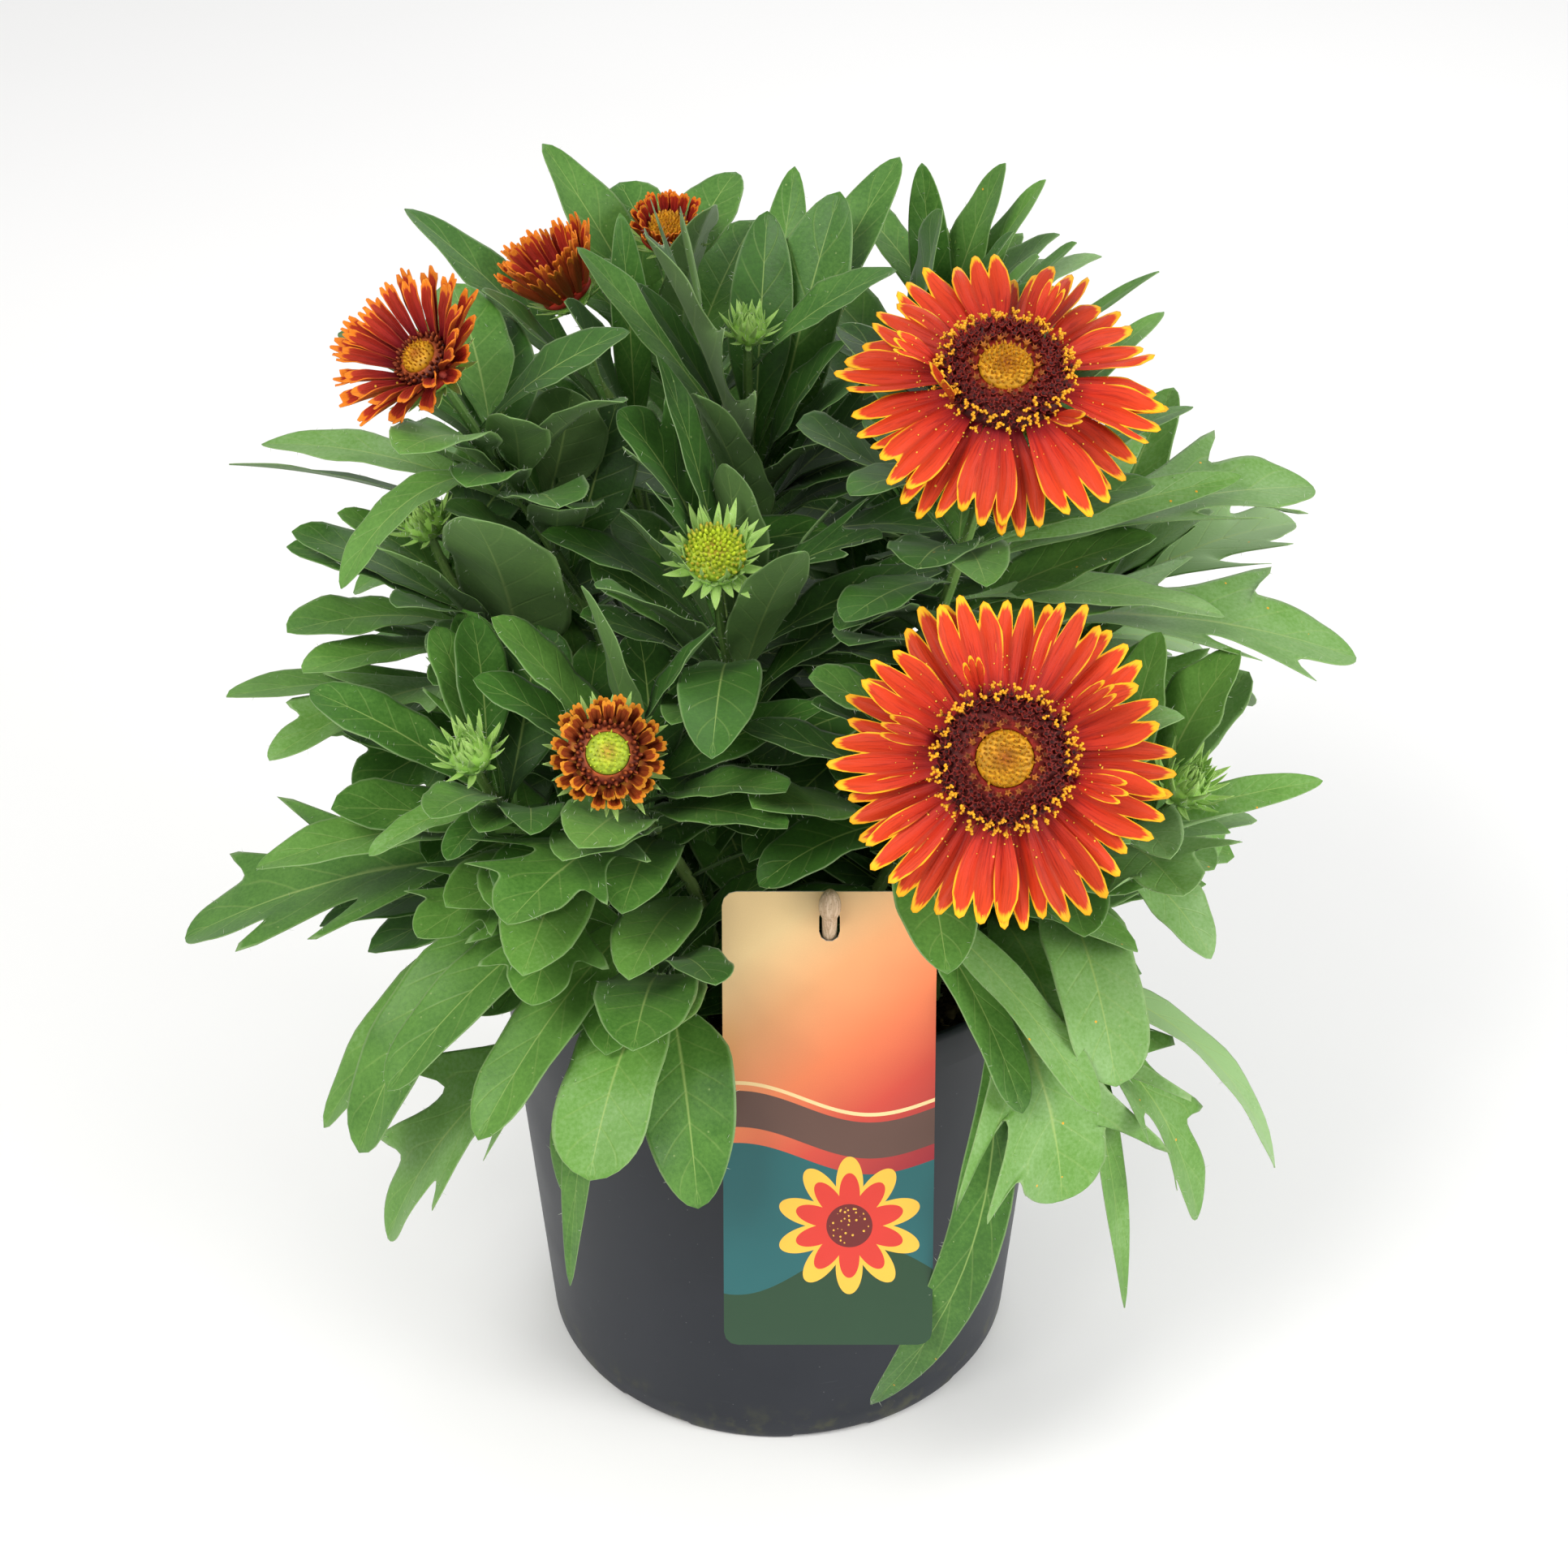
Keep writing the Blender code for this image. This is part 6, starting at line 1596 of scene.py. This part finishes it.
def makePeg(finishes):
    hole = cardFrame() @ Vector((0, card["thickness"] / 2, card["aboveRim"] - card["holeDrop"]))
    lean = math.radians(peg["lean"])
    way = Vector((0, -math.sin(lean), math.cos(lean)))
    foot = hole - way * ((hole.z - plant["soilTop"]) / way.z + peg["depth"])
    neck = (cardFrame() @ Vector((0, 0, card["aboveRim"] - card["holeDrop"])) - foot).length + 0.003
    radius, head = peg["radius"], peg["head"]
    profile = [(0, 0), (0.0007, 0.0001), (0.0012, 0.0022), (radius, 0.007), (radius, neck * 0.5), (radius, neck),
               (head * 0.90, neck + 0.0026), (head * 0.97, neck + 0.0036), (head * 0.99, neck + 0.005),
               (head * 0.95, neck + 0.0068), (head * 0.84, neck + 0.0082), (head * 0.66, neck + 0.0096),
               (head * 0.40, neck + peg["headLength"]), (head * 0.2, neck + peg["headLength"] + 0.0002),
               (0, neck + peg["headLength"] + 0.00025)]
    sheets = Sheets()
    turn = Vector((0, 0, 1)).rotation_difference(way).to_matrix().to_4x4()
    sheets.turned(profile, 28, "wood", Matrix.Translation(foot) @ turn)
    return sheets.build("turnedPeg", finishes)


# The heads' own pieces

floretLooks = {
    "a": dict(ring="maroon", middle="gold"), "b": dict(ring="maroon", middle="gold"),
    "c": dict(ring="ember", middle="gold"), "d": dict(ring="gold"), "e": dict(ring="gold"),
    "f": dict(ring="ember", middle="lime"), "g": dict(ring="lime"),
}


def makeDisc(key, finishes, shapes):
    # The disc with its florets, and on the wide ones the styles that carry pollen.
    head = stems[key][3]
    size = heads[head]
    low = headLevels(size)[3]
    outer, inner, dome = size["disc"] * mm, size["well"] * mm, size["dome"] * mm
    look = floretLooks[key]
    place = headPlace(key)
    sheets = Sheets()
    floor = wellFloor(size, low) if inner else 0.0
    sheets.turned(domeProfile(outer, low, dome, inner, floor), 48, look["ring"], place)
    parts = [sheets.build("base", finishes)]
    big = outer > 0.012
    whole = 230.0 if big else 120.0
    skip = int(whole * ((inner + 0.0006) / outer) ** 2) if inner else 0
    floret, growth = (0.0016, 0.6) if big else (outer * 0.16, 0.1)
    parts.append(grow("ring", trees["spiral"], {
        "Shape": shapes["open"] if big else shapes["shut"], "Finish": finishes[look["ring"]], "First": skip,
        "Count": int(whole * 0.97) - skip, "Whole": whole, "Radius": outer * 0.985,
        "Foot": low + seat["skirt"] - 0.0003, "Dome": dome, "Size": floret, "Growth": growth,
        "Height": 1.25 if big else 1.5, "Lean": 0.5, "Seed": 2}, None, place))
    if big:
        first = int(whole * 0.60)
        parts.append(grow("styles", trees["spiral"], {
            "Shape": shapes["style"], "Finish": finishes["styles"], "First": first,
            "Count": int(whole * 0.99) - first, "Whole": whole, "Radius": outer, "Foot": low + seat["skirt"],
            "Dome": dome, "Size": 0.0044, "Lean": 1.1, "Disorder": 0.35, "Seed": 3}, None, place))
    made = {head + "_disc": joinAll("florets_" + key, parts)}
    if inner:
        sheets = Sheets()
        small = inner - 0.0002
        sheets.turned(domeProfile(small, floor + seat["gap"], 0.002), 36, look["middle"], place)
        base = sheets.build("base", finishes)
        whole = 95 if big else 55
        buds = grow("buds", trees["spiral"], {
            "Shape": shapes["shut"], "Finish": finishes[look["middle"] + "Tips"], "Count": whole, "Whole": float(whole),
            "Radius": small * 0.95, "Foot": floor + seat["gap"] + seat["skirt"], "Dome": 0.002,
            "Size": small * 0.115, "Height": 2.1, "Lean": 0.4, "Seed": 4}, None, place)
        made[head + "_centre"] = joinAll("shutFlorets_" + key, [base, buds])
    return made


def whorl(name, bract, place, count, radii, heights, rises, lengths, wideness):
    # A round of bracts, with each pair of values from the lowest bract to the highest.
    values = bract | {"Count": count, "Wideness": wideness}
    for label, (low, high) in zip(("Radius", "Height", "Rise", "Length"), (radii, heights, rises, lengths)):
        values |= {"Low " + label: low, "High " + label: high}
    return grow(name, trees["whorl"], values, None, place)


def addCup(key, sheets, finishes, shapes):
    # The green body under a head, and its bracts as pieces of their own.
    head = stems[key][3]
    size = heads[head]
    place = headPlace(key)
    bract = {"Shape": shapes["bract"], "Finish": finishes["bract"]}
    if "ball" in size:
        ball, depth = size["ball"] * mm, size["depth"] * mm
        profile = [(0, -0.0006), (ball * 0.35, -0.0003), (ball * 0.72, ball * 0.2), (ball * 0.86, ball * 0.6),
                   (ball * 0.8, depth * 0.62), (ball * 0.45, depth * 0.86), (0, depth * 0.92)]
        sheets.turned(profile, 24, "bract", place, 0.3, 1.0)
        return [whorl("whorl", bract, place, 24, (ball * 0.60, ball * 0.72), (ball * 0.15, ball * 0.75), (0.10, 0.90),
                      (ball * 1.25, ball * 1.10), 1.05),
                whorl("crown", bract, place, 44, (ball * 0.70, ball * 0.16), (ball * 0.75, depth * 0.80), (1.10, 1.85),
                      (ball * 0.95, ball * 0.50), 1.35)]
    top = headLevels(size)[0]
    cup = (size["hub"] if size["rays"] else size["disc"] + 1.4) * mm
    profile = [(0, -0.0008), (0.0020, -0.0006), (cup * 0.45, top * 0.05), (cup * 0.76, top * 0.32),
               (cup * 0.87, top * 0.7), (cup * 0.89, top), (0, top)]
    sheets.turned(profile, 28, "bract", place, 0.35, 1.0)
    if size["rays"]:
        rise = math.radians(min(size["rise"] - 34, 16))
        return [whorl("whorl", bract, place, 26, (cup * 0.45, cup * 0.60), (top * 0.20, top * 0.45),
                      (rise - 0.15, rise), (cup * 1.05, cup * 1.05), 1.0)]
    return [whorl("whorl", bract, place, 18, (cup * 0.60, cup * 0.66), (top * 0.30, top * 0.42), (-0.05, 0.30),
                  (cup * 1.12, cup * 1.12), 1.15),
            whorl("crown", bract, place, 30, (cup * 0.68, cup * 0.72), (top * 0.55, top * 0.75), (0.55, 1.05),
                  (cup * 0.98, cup * 0.88), 0.85)]


hairs = {"density": 1.0e5, "thickness": 0.000062, "length": 0.0013, "spread": 0.45, "lean": 0.7}


def makeHairs(key, bare, finishes, shapes):
    return grow("hairs_" + key, trees["sprinkle"], {
        "Shape": shapes["hair"], "Finish": finishes["hair"], "Density": hairs["density"],
        "Thickness": hairs["thickness"], "Length": hairs["length"], "Spread": hairs["spread"], "Lean": hairs["lean"],
        "Seed": ord(key)}, bare)


pollen = {"density": 1.1e5, "size": 0.00042, "spread": 0.5, "lean": 0.2}


def makePollen(key, bare, finishes, shapes):
    return grow("pollen_" + key, trees["sprinkle"], {
        "Shape": shapes["grain"], "Finish": finishes["pollen"], "Density": pollen["density"],
        "Thickness": pollen["size"], "Length": pollen["size"], "Spread": pollen["spread"], "Lean": pollen["lean"],
        "Seed": 5}, bare)


# Making everything

groups = {"grain": makeGrainGroup(), "specks": makeSpeckGroup(), "veins": makeVeinGroup()}
finishes = {
    "leaf": leafFinish(groups), "stalk": stalkFinish(groups), "bract": bractFinish(groups), "hair": hairFinish(),
    "pot": potFinish(groups), "soil": soilFinish(groups), "bark": barkFinish(), "wood": woodFinish(groups),
    "root": floretFinish("rootBark", (0.16, 0.06, 0.03), (0.32, 0.15, 0.08), 0.7, 400.0),
    "pollen": floretFinish("pollenGrains", (0.75, 0.38, 0.02), (0.90, 0.58, 0.08), 0.7, 900.0),
    "card": cardFinish(groups),
}
for name in petalLooks:
    finishes[name] = petalFinish(name, groups)
for name, *tints in floretTints:
    finishes[name] = tipFinish(name, *tints)
trees = {"sprinkle": makeSprinkleTree(), "spiral": makeSpiralTree(), "whorl": makeWhorlTree()}
shapes = {"bract": makeBract(), "open": makeOpenFloret(), "shut": makeShutFloret(), "style": makeStyle(),
          "grain": makeGrain(), "hair": makeHair()}
print("finishes and small shapes made")

makeCamera()
makeStudio()


def keep(piece, slot, *nodes):
    # Hairs and tips end at the box of the solids.
    places = np.empty(len(piece.data.vertices) * 3)
    piece.data.vertices.foreach_get("co", places)
    places = np.clip(places.reshape(-1, 3), np.array(cadBox[0]), np.array(cadBox[1]))
    piece.data.vertices.foreach_set("co", places.ravel())
    piece.data.update()
    triangleCounts[piece.name] = sum(len(face.vertices) - 2 for face in piece.data.polygons)
    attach(piece, "root")
    if nodes:
        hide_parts(*nodes)


triangleCounts = {}
keep(makePot(finishes), "pot_plastic", "pot")
keep(makeSoil(finishes), "soil", "soil")
keep(makeRoot(finishes), "soil")
keep(makePeg(finishes), "peg_wood", "wooden_peg")
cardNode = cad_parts["care_card"]
cardNode.data.materials.clear()
cardNode.data.materials.append(finishes["card"])
print("pot, soil, peg and card made")

crowd = Crowd()
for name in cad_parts:
    if not name.startswith("leafy_stem") and name != "soil":
        crowd.addNode(name)
bloomed = [key for key in stems if stems[key][3] and "ball" not in heads[stems[key][3]]]
slots = {"maroon": "disc_maroon", "gold": "disc_gold", "lime": "disc_lime", "ember": "disc_maroon"}
for key in bloomed:
    head = stems[key][3]
    size = heads[head]
    if size["rays"]:
        sheets = Sheets()
        addRays(sheets, head)
        rays = sheets.build("rays_" + key, finishes)
        rays.data.transform(headPlace(key))
        if size["toothed"]:
            keep(makePollen(key, rays, finishes, shapes), "disc_gold")
        keep(rays, size["look"], head + "_rays")
    for node, piece in makeDisc(key, finishes, shapes).items():
        look = floretLooks[key]["middle" if node.endswith("centre") else "ring"]
        keep(piece, slots[look], node)
    reach = (size["disc"] + (size["length"] * 0.8 if size["rays"] and size["toothed"] else 8)) * mm
    crowd.keepInView(Vector(stems[key][1]) * mm, reach)
seen = {"bud": 0.012, "card": 0.030, "front": -0.10, "heights": (0.22, 0.20, 0.17, 0.14, 0.11)}
for key in stems:
    if stems[key][3] and "ball" in heads[stems[key][3]]:
        crowd.keepInView(Vector(stems[key][1]) * mm, seen["bud"])
for height in seen["heights"]:
    crowd.keepInView(Vector((card["x"], seen["front"], height)), seen["card"])
print("flower heads made")

drawn = {key: [] for key in stems}
for key, share, tip, width, arch, roll, shape in leaves:
    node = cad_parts["leafy_stem_" + key].data
    if not drawn[key]:
        near = KDTree(len(node.vertices))
        for vertex in node.vertices:
            near.insert(vertex.co, vertex.index)
        near.balance()
    start = stemCurve(key, share)
    end = solidTip(key, start, Vector(tip) * mm, near)
    tone = leafToneWithPaintedLight(end)
    grid = leafGrid(start, end, width * plant["fullness"] * mm, arch, roll, shape, tone)
    crowd.addSheet(grid[0])
    drawn[key].append(grid)
margin = {"side": 0.0015, "top": 0.014}
inside = [np.array(corner) for corner in cadBox]
inside = (inside[0] + margin["side"], inside[1] - np.array((margin["side"], margin["side"], margin["top"])))
added = growSmallLeaves(drawn, crowd, inside)
print("leaves laid out, with", added, "small ones")

for key in stems:
    sheets = Sheets()
    shares = np.linspace(0, 1, 18)
    path = [stemCurve(key, share) for share in shares]
    foot = path[0] - Vector((0, 0, plant["riseOut"] + plant["holeDepth"] - seat["gap"]))
    radii = [plant["stemRadius"] + (plant["stalkRadius"] - plant["stemRadius"]) * share for share in shares]
    sheets.tube([foot] + path, [plant["stemRadius"]] + radii, 10, "stalk", draw.uniform(0.3, 0.7), 1.6)
    for grid in drawn[key]:
        addLeaf(sheets, grid)
    parts = addCup(key, sheets, finishes, shapes) if stems[key][3] else []
    foliage = joinAll("foliage_" + key, [sheets.build("stem", finishes)] + parts)
    keep(makeHairs(key, foliage, finishes, shapes), "leaf_green")
    keep(foliage, "leaf_green", "leafy_stem_" + key)
print("stems and leaves made")

for shape in shapes.values():
    bpy.data.objects.remove(shape, do_unlink=True)
print("triangles:", sum(triangleCounts.values()), "most in", max(triangleCounts, key=triangleCounts.get),
      max(triangleCounts.values()))
